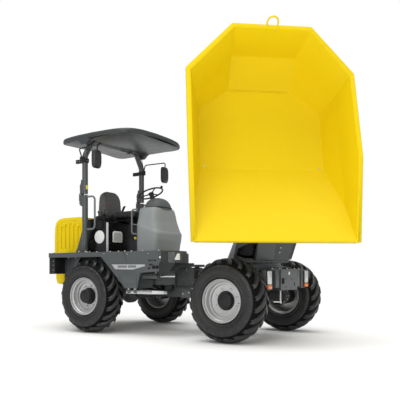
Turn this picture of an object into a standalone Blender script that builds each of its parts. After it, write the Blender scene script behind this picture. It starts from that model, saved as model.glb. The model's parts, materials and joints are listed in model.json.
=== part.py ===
"""Site dumper with a swivel skip: articulated frame, tipping skip, folding roll bar.

Vehicle frame: +X forward, +Y to the driver's left, +Z up, metres. Shapes are drawn with
x = 0 at the steering pivot; the last step moves the whole machine so that the middle of
its bounding box stands over the origin.
"""
import math

import bmesh
import bpy
from mathutils import Matrix, Vector

# ---------------------------------------------------------------- driving dimensions
GAP = 0.0003                 # between faces that touch
RUN = 0.008                  # between pieces that move past each other

TYRE_RADIUS = 0.5375         # 405/70-20
TYRE_WIDTH = 0.400
RIM_RADIUS = 0.277
TRACK_HALF = 0.887           # vehicle middle to tyre middle
AXLE_REACH = TRACK_HALF + 0.0094  # vehicle middle to the face the hub runs against
REAR_AXLE_X = -1.300
FRONT_AXLE_X = 1.050

DECK_TOP = 1.187
DECK_PLATE = 0.012
DECK_HALF = 0.950
DECK_REAR_X = -2.164
DECK_FRONT_X = 0.153
DECK_LIP = 0.070
DECK_MIDDLE_X = -0.440      # front edge of the platform before the console
DECK_LEFT_X = -0.800        # front end of the left side, which has no step
WING_INNER_Y = 0.500        # the right side runs on to the front, this far from the middle
DECK_CLIP = (0.123, 0.230)   # front corners clipped: along the side, along the front

CHASSIS_HALF = 0.340
CHASSIS_LOW = 0.700
CHASSIS_REAR_X = -2.230
NOSE_HALF = 0.130

HOUSING_HALF = 0.600         # black housing under the seat
HOUSING_REAR_X = -1.690
HOUSING_FRONT_X = -1.250
HOUSING_TOP = 1.715
HOUSING_FRONT_TOP = 1.660
HOUSING_BREAK_X = -1.520      # where the top starts to fall
SHEET = 0.006

HOOD_HALF = 0.580
HOOD_REAR_X = -2.460
HOOD_FRONT_X = -1.760
HOOD_LOW = 1.203
HOOD_TOP = 1.775
HOOD_PIN = (-1.727, 1.732)   # hinge pin: x, height
HOOD_HINGE_Y = (-0.350, 0.350)

CONSOLE_HALF = 0.290
CONSOLE_REAR_X = -0.944

POST_X = -1.630
POST_HALF = 0.695            # vehicle middle to post middle
POST_RADIUS = 0.045
FOLD_HEIGHT = 2.100
FOLD_BACK = 0.075            # fold pin behind the post's middle
ARCH_TOP = 2.960
CANOPY_REAR_X = -2.190
CANOPY_FRONT_X = -0.730
CANOPY_HALF = 0.780
CANOPY_LOW = ARCH_TOP + 0.052
CANOPY_TOP = ARCH_TOP + 0.150
ARCH_SHOULDER = ARCH_TOP - 0.160  # where the posts turn in
MIRROR_CLAMP = ARCH_TOP - 0.315   # middle of the mirror's clamp on the post

SEAT_X = -1.270              # middle of the cushion
WHEEL_TILT = math.radians(22.0)
WHEEL_RING = 0.195           # steering wheel, to the middle of its rim
WHEEL_CENTRE = Vector((-0.876, 0, 2.138))

YOKE_LOW = 0.560
YOKE_HIGH = 0.960
PIVOT_RADIUS = 0.070
SWING_HEIGHT = 0.640         # lengthwise swing pin between the two halves

SLEW_X = 0.930
SLEW_HEIGHT = 0.985
SLEW_RADIUS = 0.400
SKIP_HEADING = math.radians(-50.3)
SKIP_TIPPED = math.radians(76.65)
TIP_PIN = (1.060, 1.560)     # forward of the slew axis, height
PIN_RADIUS = 0.022
EYE_RADIUS = PIN_RADIUS * 1.035
FLOOR_FRONT = (-0.7398, -0.2633)  # front edge of the skip floor, from the tip pin, lowered
SKIP_WALL = 0.010
APRON_SLOPE = 0.538 / 1.115  # rise of the pouring apron ahead of the floor, lowered

LIFT_BASE = (-0.120, 1.135)  # tip cylinder's lower pin: from the slew axis, height
LIFT_HEAD = (-0.500, -0.290) # its upper eye, from the tip pin, with the skip lowered
LIFT_RADIUS = 0.046
STEER_BASE = (-0.740, -0.600)
STEER_HEAD = (0.030, -0.420)
STEER_HEIGHT = 0.835
STEER_RADIUS = 0.042

ROUND = 24                   # sides of a large round piece
SMALL = 12                   # sides of a small one

PAINT_DARK = ("anthracite paint", (0.070, 0.075, 0.078), 0.45, 0.0)
PAINT_YELLOW = ("yellow paint", (0.900, 0.680, 0.010), 0.35, 0.0)
PAINT_GREY = ("grey moulding", (0.160, 0.170, 0.175), 0.50, 0.0)
PAINT_BLACK = ("black panel", (0.010, 0.010, 0.011), 0.35, 0.0)
RUBBER = ("tyre rubber", (0.030, 0.031, 0.032), 0.85, 0.0)
SILVER = ("silver paint", (0.620, 0.630, 0.630), 0.35, 0.3)
STEEL = ("bright steel", (0.700, 0.710, 0.720), 0.25, 1.0)
VINYL = ("seat vinyl", (0.045, 0.046, 0.048), 0.60, 0.0)
LENS = ("lamp lens", (0.750, 0.760, 0.760), 0.20, 0.0)


# ---------------------------------------------------------------- tools
def clear_scene():
    for thing in list(bpy.data.objects):
        bpy.data.objects.remove(thing, do_unlink=True)


def material(finish):
    name, colour, roughness, metallic = finish
    found = bpy.data.materials.get(name)
    if found:
        return found
    made = bpy.data.materials.new(name)
    made.use_nodes = True
    shader = made.node_tree.nodes["Principled BSDF"]
    shader.inputs["Base Color"].default_value = (*colour, 1.0)
    shader.inputs["Roughness"].default_value = roughness
    shader.inputs["Metallic"].default_value = metallic
    return made


def link(name, mesh, parent=None):
    thing = bpy.data.objects.new(name, mesh)
    bpy.context.scene.collection.objects.link(thing)
    thing.parent = parent
    return thing


def from_bmesh(bm, name="piece"):
    mesh = bpy.data.meshes.new(name)
    bm.to_mesh(mesh)
    bm.free()
    return link(name, mesh)


def prism(outline, axis, low, high):
    """An outline drawn across one axis and carried from low to high along it."""
    place = {
        "X": lambda u, v, w: (w, u, v),
        "Y": lambda u, v, w: (u, w, v),
        "Z": lambda u, v, w: (u, v, w),
    }[axis]
    bm = bmesh.new()
    face = bm.faces.new([bm.verts.new(place(u, v, low)) for u, v in outline])
    grown = bmesh.ops.extrude_face_region(bm, geom=[face])
    far = [item for item in grown["geom"] if isinstance(item, bmesh.types.BMVert)]
    bmesh.ops.translate(bm, verts=far, vec=Vector(place(0, 0, high - low)))
    bmesh.ops.recalc_face_normals(bm, faces=bm.faces)
    return from_bmesh(bm)


def box(low, high):
    outline = [(low[0], low[1]), (high[0], low[1]), (high[0], high[1]), (low[0], high[1])]
    return prism(outline, "Z", low[2], high[2])


def bar(start, end, radius, sides=SMALL):
    """A round bar between two points."""
    start, end = Vector(start), Vector(end)
    run = end - start
    bm = bmesh.new()
    bmesh.ops.create_cone(
        bm, cap_ends=True, segments=sides, radius1=radius, radius2=radius, depth=run.length)
    turn = run.to_track_quat("Z", "Y").to_matrix().to_4x4()
    bmesh.ops.transform(bm, verts=bm.verts, matrix=Matrix.Translation((start + end) / 2) @ turn)
    return from_bmesh(bm)


def turned(profile, centre, axis, sides=ROUND):
    """A closed profile of (radius, along) points spun about an axis through the centre."""
    bm = bmesh.new()
    verts = [bm.verts.new((radius, 0, along)) for radius, along in profile]
    edges = [bm.edges.new(pair) for pair in zip(verts, verts[1:])]
    if profile[0][0] > 0 or profile[-1][0] > 0:
        edges.append(bm.edges.new((verts[-1], verts[0])))
    bmesh.ops.spin(
        bm, geom=verts + edges, cent=(0, 0, 0), axis=(0, 0, 1), angle=math.tau, steps=sides,
        use_merge=True)
    bmesh.ops.remove_doubles(bm, verts=bm.verts, dist=0.00001)
    bmesh.ops.recalc_face_normals(bm, faces=bm.faces)
    turn = Vector(axis).to_track_quat("Z", "Y").to_matrix().to_4x4()
    bmesh.ops.transform(bm, verts=bm.verts, matrix=Matrix.Translation(centre) @ turn)
    return from_bmesh(bm)


def rounded_path(points, radius, steps=5):
    """The corners of a path replaced by arcs."""
    points = [Vector(p) for p in points]
    path = [points[0]]
    for before, corner, after in zip(points, points[1:], points[2:]):
        to_before, to_after = (before - corner).normalized(), (after - corner).normalized()
        half = to_before.angle(to_after) / 2
        reach = radius / math.tan(half)
        centre = corner + (to_before + to_after).normalized() * radius / math.sin(half)
        first = (corner + to_before * reach - centre).normalized()
        last = (corner + to_after * reach - centre).normalized()
        for step in range(steps + 1):
            path.append(centre + first.slerp(last, step / steps) * radius)
    path.append(points[-1])
    return path


def tube(points, radius, bend, sides=2):
    """A bent tube: a curve with a round bevel and closed ends, made a mesh."""
    path = rounded_path(points, bend)
    curve = bpy.data.curves.new("tube", "CURVE")
    curve.dimensions = "3D"
    curve.bevel_depth = radius
    curve.bevel_resolution = sides
    curve.use_fill_caps = True
    spline = curve.splines.new("POLY")
    spline.points.add(len(path) - 1)
    for point, place in zip(spline.points, path):
        point.co = (*place, 1.0)
    drawn = link("tube", curve)
    graph = bpy.context.evaluated_depsgraph_get()
    mesh = bpy.data.meshes.new_from_object(drawn.evaluated_get(graph))
    bpy.data.objects.remove(drawn, do_unlink=True)
    bm = bmesh.new()
    bm.from_mesh(mesh)
    bmesh.ops.remove_doubles(bm, verts=bm.verts, dist=0.00001)
    bmesh.ops.recalc_face_normals(bm, faces=bm.faces)
    return from_bmesh(bm)


def moved(piece, offset=(0, 0, 0), turn=None):
    """The piece's own mesh moved, after an optional turn about the origin."""
    matrix = Matrix.Translation(offset) @ (turn if turn else Matrix.Identity(4))
    piece.data.transform(matrix)
    return piece


def mirrored(piece):
    """A copy on the other side of the vehicle's middle plane."""
    mesh = piece.data.copy()
    bm = bmesh.new()
    bm.from_mesh(mesh)
    bmesh.ops.scale(bm, verts=bm.verts, vec=(1, -1, 1))
    bmesh.ops.reverse_faces(bm, faces=bm.faces)
    return from_bmesh(bm)


def weld(name, finish, pieces, cuts=(), parent=None, smooth=False):
    """One solid from overlapping pieces, less the cuts, as a named object."""
    base = pieces[0]
    for operation, others in (("UNION", pieces[1:]), ("DIFFERENCE", cuts)):
        for other in others:
            step = base.modifiers.new(operation, "BOOLEAN")
            step.operation = operation
            step.object = other
            step.solver = "EXACT"
    graph = bpy.context.evaluated_depsgraph_get()
    mesh = bpy.data.meshes.new_from_object(base.evaluated_get(graph))
    for used in (*pieces, *cuts):
        bpy.data.objects.remove(used, do_unlink=True)
    bm = bmesh.new()
    bm.from_mesh(mesh)
    bmesh.ops.remove_doubles(bm, verts=bm.verts, dist=0.00002)
    bmesh.ops.dissolve_limit(bm, angle_limit=0.0002, verts=bm.verts, edges=bm.edges)
    bmesh.ops.triangulate(bm, faces=bm.faces)
    bm.to_mesh(mesh)
    bm.free()
    mesh.name = name
    mesh.materials.clear()
    mesh.materials.append(material(finish))
    thing = link(name, mesh, parent)
    if smooth:
        mesh.shade_smooth()
        mesh.set_sharp_from_angle(angle=math.radians(35))
    return thing


def empty(name, place, parent=None, turn=(0, 0, 0)):
    joint = link(name, None, parent)
    joint.empty_display_size = 0.1
    joint.location = place
    joint.rotation_euler = turn
    return joint


def ring(centre, axis, outer, inner, half, sides=ROUND):
    return turned([(inner, -half), (outer, -half), (outer, half), (inner, half)], centre, axis, sides)


# ---------------------------------------------------------------- rear half
def rear_chassis(root):
    """Box chassis with its nose, the two pivot lugs and the steering ram's bracket."""
    low, high = CHASSIS_LOW, DECK_TOP - DECK_PLATE - GAP
    plan = [
        (CHASSIS_REAR_X, -CHASSIS_HALF), (-0.520, -CHASSIS_HALF), (-0.240, -NOSE_HALF),
        (-0.240, NOSE_HALF), (-0.520, CHASSIS_HALF), (CHASSIS_REAR_X, CHASSIS_HALF)]
    body = prism(plan, "Z", low, high)
    lug_plan = [(-0.300, -0.115), (0.0, -0.115)]
    lug_plan += [(0.115 * math.sin(math.radians(a)), -0.115 * math.cos(math.radians(a)))
                 for a in range(20, 161, 20)]
    lug_plan += [(0.0, 0.115), (-0.300, 0.115)]
    lugs = [
        prism(lug_plan, "Z", YOKE_LOW - RUN - 0.035, YOKE_LOW - RUN),
        prism(lug_plan, "Z", YOKE_HIGH + RUN, YOKE_HIGH + RUN + 0.035)]
    keel = box((-0.520, -0.115, YOKE_LOW - RUN - 0.035), (-0.170, 0.115, low + 0.02))
    pin = bar((0, 0, YOKE_LOW - RUN - 0.030), (0, 0, YOKE_HIGH + RUN + 0.030), 0.035, ROUND)
    bx, by = STEER_BASE
    brackets = [
        box((bx - 0.05, by - 0.05, z), (bx + 0.05, -CHASSIS_HALF + 0.02, z + 0.016))
        for z in (STEER_HEIGHT - 0.052, STEER_HEIGHT + 0.036)]
    ram_pin = bar((bx, by, STEER_HEIGHT - 0.060), (bx, by, STEER_HEIGHT + 0.060), PIN_RADIUS, 16)
    return weld("rear_chassis", PAINT_DARK, [body, keel, pin, *lugs, *brackets, ram_pin], parent=root)


def deck(root):
    """Platform plate with its edge lip and the side skirts over the rear wheels."""
    under = DECK_TOP - DECK_PLATE
    clip_x, clip_y = DECK_CLIP
    corner_x, corner_y = DECK_FRONT_X - clip_x, DECK_HALF - clip_y
    plate = prism(
        [(DECK_REAR_X, -DECK_HALF), (corner_x, -DECK_HALF), (DECK_FRONT_X, -corner_y),
         (DECK_FRONT_X, -WING_INNER_Y), (DECK_MIDDLE_X, -WING_INNER_Y), (DECK_MIDDLE_X, DECK_HALF - 0.530),
         (DECK_LEFT_X, DECK_HALF), (DECK_REAR_X, DECK_HALF)], "Z", under, DECK_TOP)
    skirt = [
        (DECK_REAR_X, DECK_TOP - DECK_LIP), (-1.060, DECK_TOP - DECK_LIP), (-0.760, 0.823),
        (-0.601, 0.668), (-0.380, 0.668), (-0.330, 0.900), (-0.100, 0.985), (corner_x, 1.040),
        (corner_x, under + 0.004), (DECK_REAR_X, under + 0.004)]
    wall = DECK_PLATE
    right = prism(skirt, "Y", -DECK_HALF, -DECK_HALF + wall)
    left = prism([(DECK_REAR_X, DECK_TOP - DECK_LIP), (-1.060, DECK_TOP - DECK_LIP), (-0.900, 0.960),
                  (DECK_LEFT_X, 0.960), (DECK_LEFT_X, under + 0.004), (DECK_REAR_X, under + 0.004)],
                 "Y", DECK_HALF - wall, DECK_HALF)
    lip_low, lip_wide = DECK_TOP - DECK_LIP, DECK_HALF - CHASSIS_HALF - 0.010
    ends = [
        box((DECK_REAR_X, y, lip_low), (DECK_REAR_X + wall, y + lip_wide, under + 0.004))
        for y in (-DECK_HALF + 0.004, CHASSIS_HALF + 0.006)]
    ends.append(box((DECK_FRONT_X - wall, -corner_y, 1.060), (DECK_FRONT_X, -WING_INNER_Y, under + 0.004)))
    cant = prism([(corner_x - wall / 2, -DECK_HALF), (DECK_FRONT_X, -corner_y),
                  (DECK_FRONT_X - wall, -corner_y + wall / 2), (corner_x - wall, -DECK_HALF + wall / 2)],
                 "Z", 1.045, under + 0.004)
    ends.append(cant)
    return weld("deck", PAINT_DARK, [plate, right, left, *ends], parent=root)


def engine_block(root):
    """Engine and cooler as one plain mass under the hood."""
    low = DECK_TOP + GAP
    return weld("engine_block", PAINT_BLACK, [box((-2.30, -0.42, low), (-1.78, 0.42, 1.640))], parent=root)


def seat_housing(root):
    """Black sheet housing under the seat, open below; its top steps down to the front."""
    side = [(HOUSING_REAR_X, DECK_TOP + GAP), (HOUSING_FRONT_X, DECK_TOP + GAP),
            (HOUSING_FRONT_X, HOUSING_FRONT_TOP), (HOUSING_BREAK_X, HOUSING_TOP), (HOUSING_REAR_X, HOUSING_TOP)]
    inner = [(HOUSING_REAR_X + SHEET, DECK_TOP - 0.05), (HOUSING_FRONT_X - SHEET, DECK_TOP - 0.05),
             (HOUSING_FRONT_X - SHEET, HOUSING_FRONT_TOP - SHEET), (HOUSING_BREAK_X, HOUSING_TOP - SHEET),
             (HOUSING_REAR_X + SHEET, HOUSING_TOP - SHEET)]
    shell = prism(side, "Y", -HOUSING_HALF, HOUSING_HALF)
    hollow = prism(inner, "Y", -HOUSING_HALF + SHEET, HOUSING_HALF - SHEET)
    box_shell = weld("housing_shell", PAINT_BLACK, [shell], [hollow])
    px, pz = HOOD_PIN
    ears = []
    for y in HOOD_HINGE_Y:
        for ear in (y - 0.038, y + 0.028):
            ears.append(prism(
                [(HOUSING_REAR_X + 0.020, HOUSING_TOP - 0.004), (HOUSING_REAR_X + 0.020, HOUSING_TOP + 0.012),
                 (px + 0.006, pz + 0.016), (px - 0.012, pz + 0.012), (px - 0.014, pz - 0.010),
                 (HOUSING_REAR_X + 0.004, HOUSING_TOP - 0.030)], "Y", ear, ear + 0.010))
        ears.append(bar((px, y - 0.036, pz), (px, y + 0.036, pz), 0.008, SMALL))
    return weld("seat_housing", PAINT_BLACK, [box_shell, *ears], parent=root)


def console(root):
    """Moulded steering console with a domed top, hollow and open below, and its two rails."""
    side = [(CONSOLE_REAR_X + 0.240, DECK_TOP + GAP), (-0.535, DECK_TOP + GAP), (-0.465, 1.530),
            (-0.540, 1.730), (-0.560, 1.884), (-0.700, 2.010), (-0.856, 2.060), (-0.930, 1.960),
            (CONSOLE_REAR_X, 1.840), (-0.900, 1.500), (-0.704, 1.230)]
    inner = [(-0.690, DECK_TOP - 0.05), (-0.560, DECK_TOP - 0.05), (-0.490, 1.530),
             (-0.565, 1.730), (-0.585, 1.870), (-0.710, 1.985), (-0.845, 2.030), (-0.905, 1.950),
             (-0.918, 1.840), (-0.876, 1.500), (-0.690, 1.240)]
    shell = prism(side, "Y", -CONSOLE_HALF, CONSOLE_HALF)
    hollow = prism(inner, "Y", -CONSOLE_HALF + 0.012, CONSOLE_HALF - 0.012)
    rail = tube([(-0.915, -0.280, 1.480), (-0.980, -0.345, 1.480), (-0.980, -0.345, 1.860),
                 (-0.915, -0.280, 1.860)], 0.014, 0.04)
    axis = steering_axis()
    column = bar(WHEEL_CENTRE - axis * 0.140, WHEEL_CENTRE - axis * 0.0356, 0.030)
    return weld("console", PAINT_GREY, [shell, rail, mirrored(rail), column], [hollow], parent=root)


def steering_axis():
    return Vector((-math.sin(WHEEL_TILT), 0, math.cos(WHEEL_TILT)))


def housing_wedge():
    """The space that the sloping top of the housing takes, for what stands on it."""
    fall = (HOUSING_TOP - HOUSING_FRONT_TOP) / (HOUSING_FRONT_X - HOUSING_BREAK_X)
    front = HOUSING_FRONT_X + 0.20
    top = HOUSING_TOP + GAP
    return prism([(HOUSING_REAR_X, 1.50), (front, 1.50), (front, top - fall * (front - HOUSING_BREAK_X)),
                  (HOUSING_BREAK_X, top), (HOUSING_REAR_X, top)], "Y", -HOUSING_HALF, HOUSING_HALF)


def seat(root):
    """Seat mount, cushion and backrest."""
    x = SEAT_X
    base = weld("seat_mount", PAINT_BLACK, [box((x - 0.22, -0.17, 1.640), (x + 0.16, 0.17, 1.755))],
                [housing_wedge()], parent=root)
    pad = [(x - 0.235, 1.755 + GAP), (x + 0.230, 1.755 + GAP), (x + 0.255, 1.790), (x + 0.245, 1.850),
           (x + 0.180, 1.868), (x - 0.200, 1.845), (x - 0.240, 1.820)]
    cushion = weld("seat_cushion", VINYL, [prism(pad, "Y", -0.235, 0.235)], parent=root)
    back = [(x - 0.2403, 1.760), (x - 0.2403, 1.850), (x - 0.330, 2.130), (x - 0.375, 2.225),
            (x - 0.420, 2.240), (x - 0.470, 2.200), (x - 0.485, 2.060), (x - 0.380, 1.800), (x - 0.330, 1.760)]
    rest = weld("seat_backrest", VINYL, [prism(back, "Y", -0.225, 0.225)], parent=root)
    return base, cushion, rest


def joystick(root):
    """Lever box to the right of the seat with its upright grip."""
    x, y = SEAT_X - 0.20, -0.400
    foot = box((x - 0.16, y - 0.07, 1.600), (x + 0.01, y + 0.07, 1.770))
    stem = bar((x - 0.04, y, 1.765), (x - 0.01, y, 1.860), 0.010)
    grip = bar((x - 0.012, y, 1.855), (x + 0.020, y, 1.960), 0.022)
    return weld("lever_box", PAINT_BLACK, [foot, stem, grip], [housing_wedge()], parent=root)


def lower_posts(root):
    """The fixed feet of the roll bar, each with a gusset behind and the fold hinge's ears."""
    def make():
        low = DECK_TOP + GAP
        post = bar((POST_X, -POST_HALF, low), (POST_X, -POST_HALF, FOLD_HEIGHT - 0.01), POST_RADIUS, 16)
        foot = box((POST_X - 0.10, -POST_HALF - 0.07, low), (POST_X + 0.07, -POST_HALF + 0.07, DECK_TOP + 0.016))
        gusset = prism([(POST_X - 0.20, low), (POST_X, low), (POST_X, 1.560), (POST_X - 0.045, 1.560)],
                       "Y", -POST_HALF - 0.006, -POST_HALF + 0.006)
        px = POST_X - FOLD_BACK
        ears = []
        for y in (-POST_HALF - 0.030, -POST_HALF + 0.018):
            ears.append(prism(
                [(POST_X, FOLD_HEIGHT - 0.16), (POST_X, FOLD_HEIGHT - 0.012), (POST_X - 0.040, FOLD_HEIGHT - 0.012),
                 (px + 0.020, FOLD_HEIGHT + 0.022), (px - 0.020, FOLD_HEIGHT + 0.022),
                 (px - 0.028, FOLD_HEIGHT), (px - 0.028, FOLD_HEIGHT - 0.05)], "Y", y, y + 0.012))
        pin = bar((px, -POST_HALF - 0.036, FOLD_HEIGHT), (px, -POST_HALF + 0.036, FOLD_HEIGHT), 0.011, SMALL)
        loop = tube([(POST_X, -POST_HALF, 1.980), (POST_X + 0.200, -POST_HALF, 1.980),
                     (POST_X + 0.200, -POST_HALF, 1.560), (POST_X, -POST_HALF, 1.560)], 0.015, 0.055)
        return [post, foot, gusset, *ears, pin, loop]
    right = make()
    left = [mirrored(piece) for piece in right]
    weld("lower_post_right", PAINT_DARK, right, parent=root)
    weld("lower_post_left", PAINT_DARK, left, parent=root)


def rear_lamps(root):
    """Black lamp housings hung below the deck's rear corners."""
    top = DECK_TOP - DECK_LIP - GAP

    def make():
        case = box((-2.160, -0.930, 0.860), (-2.040, -0.700, top))
        arm = box((-2.120, -0.720, 1.000), (-2.080, -CHASSIS_HALF - GAP, top - 0.002))
        return [case, arm]
    right = make()
    left = [mirrored(piece) for piece in right]
    weld("rear_lamp_right", PAINT_BLACK, right, parent=root)
    weld("rear_lamp_left", PAINT_BLACK, left, parent=root)


def rear_ballast(root):
    """Yellow counterweight behind the chassis, the hood's lower line carried down."""
    side = [(CHASSIS_REAR_X - GAP, 0.740), (CHASSIS_REAR_X - GAP, 1.100), (-2.400, 1.100),
            (-2.440, 1.050), (-2.430, 0.780), (-2.400, 0.700), (-2.330, 0.690)]
    return weld("rear_ballast", PAINT_YELLOW, [prism(side, "Y", -0.560, 0.560)], parent=root)


def hood(root):
    """Engine hood: a shell open below and in front, hinged along its front top edge."""
    px, pz = HOOD_PIN
    side = [(HOOD_FRONT_X, HOOD_LOW), (HOOD_FRONT_X, HOOD_TOP - 0.045), (HOOD_FRONT_X - 0.06, HOOD_TOP),
            (HOOD_REAR_X + 0.12, HOOD_TOP), (HOOD_REAR_X + 0.04, HOOD_TOP - 0.040),
            (HOOD_REAR_X, HOOD_TOP - 0.14), (HOOD_REAR_X, HOOD_LOW)]
    wall = 0.012
    inner = [(HOOD_FRONT_X + 0.05, HOOD_LOW - 0.05), (HOOD_FRONT_X + 0.05, HOOD_TOP - 0.075),
             (HOOD_FRONT_X - 0.05, HOOD_TOP - 0.075), (HOOD_FRONT_X - 0.07, HOOD_TOP - wall),
             (HOOD_REAR_X + 0.125, HOOD_TOP - wall), (HOOD_REAR_X + 0.050, HOOD_TOP - 0.052),
             (HOOD_REAR_X + wall, HOOD_TOP - 0.145), (HOOD_REAR_X + wall, HOOD_LOW - 0.05)]
    shell = prism(side, "Y", -HOOD_HALF, HOOD_HALF)
    hollow = prism(inner, "Y", -HOOD_HALF + wall, HOOD_HALF - wall)
    open_shell = weld("hood_shell", PAINT_YELLOW, [shell], [hollow])
    knuckles, holes = [], []
    for y in HOOD_HINGE_Y:
        strap_rear = HOOD_FRONT_X - 0.020
        knuckles.append(bar((px, y - 0.025, pz), (px, y + 0.025, pz), 0.018, SMALL))
        knuckles.append(box((strap_rear, y - 0.025, pz - 0.018), (px - 0.008, y + 0.025, pz - 0.006)))
        holes.append(bar((px, y - 0.05, pz), (px, y + 0.05, pz), 0.0084, SMALL))
    return weld("hood", PAINT_YELLOW, [open_shell, *knuckles], holes, parent=root)


def step(root):
    """A folded tread step hung under the right side by a strap from the bulkhead."""
    outer = -DECK_HALF + 0.005
    tread = prism([(-0.582, outer), (-0.120, outer), (0.020, outer + 0.095), (0.020, outer + 0.165),
                   (-0.582, outer + 0.165)], "Z", 0.590, 0.635)
    strap = box((-0.560, -DECK_HALF, 0.600), (-0.400, -DECK_HALF + DECK_PLATE, 0.668 - GAP))
    weld("step_right", STEEL, [tread, strap], parent=root)


def steering_wheel(root):
    """Wheel, three spokes, hub and spinner knob, turning on the tilted column."""
    tilt = steering_axis().to_track_quat("Z", "Y").to_matrix().to_4x4()
    turn = Matrix.Translation(WHEEL_CENTRE) @ tilt
    wire = 0.014
    profile = [(WHEEL_RING + wire * math.cos(a), wire * math.sin(a))
               for a in (math.tau * i / 8 for i in range(8))]
    rim = turned(profile, (0, 0, 0), (0, 0, 1), ROUND)
    hub = turned([(0.0, -0.035), (0.040, -0.035), (0.050, 0.0), (0.036, 0.012), (0.0, 0.012)],
                 (0, 0, 0), (0, 0, 1), 16)
    spokes = []
    for k in range(3):
        angle = math.tau * k / 3 + math.radians(60)
        tip = (WHEEL_RING * math.cos(angle), WHEEL_RING * math.sin(angle), 0)
        spokes.append(bar((0, 0, -0.010), tip, 0.011, 8))
    knob_x, knob_y = -WHEEL_RING * 0.5, WHEEL_RING * 0.866
    knob = bar((knob_x, knob_y, 0.004), (knob_x, knob_y, 0.062), 0.021)
    pieces = [rim, hub, *spokes, knob]
    for piece in pieces:
        piece.data.transform(turn)
    return weld("steering_wheel", PAINT_BLACK, pieces, parent=root, smooth=True)


# ---------------------------------------------------------------- roll bar and canopy
def upper_arch(fold):
    """Roll bar above the fold: two posts joined by the top run, with the hinge tongues."""
    foot = FOLD_HEIGHT + 0.004
    arch = tube([(POST_X, -POST_HALF, foot), (POST_X, -POST_HALF, ARCH_SHOULDER),
                 (POST_X, -POST_HALF + 0.160, ARCH_TOP), (POST_X, POST_HALF - 0.160, ARCH_TOP),
                 (POST_X, POST_HALF, ARCH_SHOULDER), (POST_X, POST_HALF, foot)], POST_RADIUS, 0.110, 6)
    px = POST_X - FOLD_BACK
    tongues, holes = [], []
    for y in (-POST_HALF, POST_HALF):
        tongues.append(prism(
            [(POST_X, foot + 0.002), (POST_X, FOLD_HEIGHT + 0.20), (px, FOLD_HEIGHT + 0.10),
             (px - 0.022, FOLD_HEIGHT + 0.02), (px - 0.022, FOLD_HEIGHT - 0.018),
             (px + 0.018, FOLD_HEIGHT - 0.018), (px + 0.020, foot + 0.002)], "Y", y - 0.012, y + 0.012))
        holes.append(bar((px, y - 0.05, FOLD_HEIGHT), (px, y + 0.05, FOLD_HEIGHT), 0.0116, SMALL))
    return weld("upper_arch", PAINT_DARK, [arch, *tongues], holes, parent=fold)


def canopy(fold):
    """Moulded roof: crowned panel with a turned-down edge, open below."""
    rows = 7
    wall = 0.030

    def section(inset, top, low):
        half = CANOPY_HALF - inset
        points = [(-half, low), (half, low)]
        for k in range(rows + 1):
            y = half - 2 * half * k / rows
            points.append((y, top - 0.055 * (y / CANOPY_HALF) ** 2))
        return points

    shell = prism(section(0, CANOPY_TOP, CANOPY_LOW - wall), "X", CANOPY_REAR_X, CANOPY_FRONT_X)
    hollow = prism(section(wall, CANOPY_TOP - wall, CANOPY_LOW - 2 * wall), "X",
                   CANOPY_REAR_X + wall, CANOPY_FRONT_X - wall)
    panel = weld("canopy_panel", PAINT_DARK, [shell], [hollow])
    pads = [box((POST_X - 0.06, y - 0.10, ARCH_TOP + 0.03), (POST_X + 0.06, y + 0.10, CANOPY_TOP - 0.020))
            for y in (-0.30, 0.30)]
    saddle = bar((POST_X, -CANOPY_HALF, ARCH_TOP), (POST_X, CANOPY_HALF, ARCH_TOP), POST_RADIUS * 1.016, ROUND)
    return weld("canopy", PAINT_DARK, [panel, *pads], [saddle], parent=fold)


def mirrors(fold):
    """Driving mirrors on bent arms clamped to the roll bar."""
    def make():
        y = -POST_HALF - POST_RADIUS - GAP
        z = MIRROR_CLAMP
        clamp = box((POST_X - 0.050, y - 0.020, z - 0.045), (POST_X + 0.050, y, z + 0.045))
        arm = tube([(POST_X, y - 0.012, z), (POST_X, y - 0.070, z + 0.155), (-1.225, y - 0.110, z + 0.155),
                    (-1.250, y - 0.110, z + 0.035)], 0.010, 0.03)
        head = box((-1.270, y - 0.200, z - 0.205), (-1.230, y - 0.020, z + 0.055))
        return [clamp, arm, head]
    right = make()
    left = [mirrored(piece) for piece in right]
    weld("mirror_right", PAINT_BLACK, right, parent=fold)
    weld("mirror_left", PAINT_BLACK, left, parent=fold)


# ---------------------------------------------------------------- pivot and front half
def pivot_yoke(steer):
    """Centre pivot block: the upright tube, the swing pin and the arm for the steering ram."""
    upright = ring((0, 0, (YOKE_LOW + YOKE_HIGH) / 2), (0, 0, 1), PIVOT_RADIUS, 0.0357,
                   (YOKE_HIGH - YOKE_LOW) / 2, ROUND)
    web = box((0.045, -0.060, YOKE_LOW + 0.01), (0.170, 0.060, YOKE_HIGH - 0.01))
    cross = box((0.060, -0.420, STEER_HEIGHT - 0.10), (0.140, 0.420, STEER_HEIGHT + 0.10))
    plate_outline = [(-0.040, 0.520), (0.120, 0.520), (0.140, 0.560), (0.140, 1.000),
                     (0.050, 1.000), (-0.040, 0.930)]
    cheek = prism(plate_outline, "Y", -0.368, -0.352)
    ex, ey = STEER_HEAD
    lug_outline = [(0.100, ey + 0.075), (ex - 0.040, ey + 0.040), (ex - 0.045, ey - 0.030),
                   (ex + 0.045, ey - 0.045), (0.100, ey - 0.040)]
    lugs = [prism(lug_outline, "Z", z, z + 0.014) for z in (STEER_HEIGHT - 0.050, STEER_HEIGHT + 0.036)]
    swing = bar((0.150, 0, SWING_HEIGHT), (0.440, 0, SWING_HEIGHT), 0.050, ROUND)
    window = box((-0.10, -0.45, STEER_HEIGHT - 0.036), (0.060, -0.30, STEER_HEIGHT + 0.036))
    window_two = box((0.055, -0.47, STEER_HEIGHT - 0.036), (0.095, -0.345, STEER_HEIGHT + 0.036))
    return weld("pivot_yoke", PAINT_DARK, [upright, web, cross, cheek, mirrored(cheek), *lugs, swing],
                [window, window_two], parent=steer)


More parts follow.
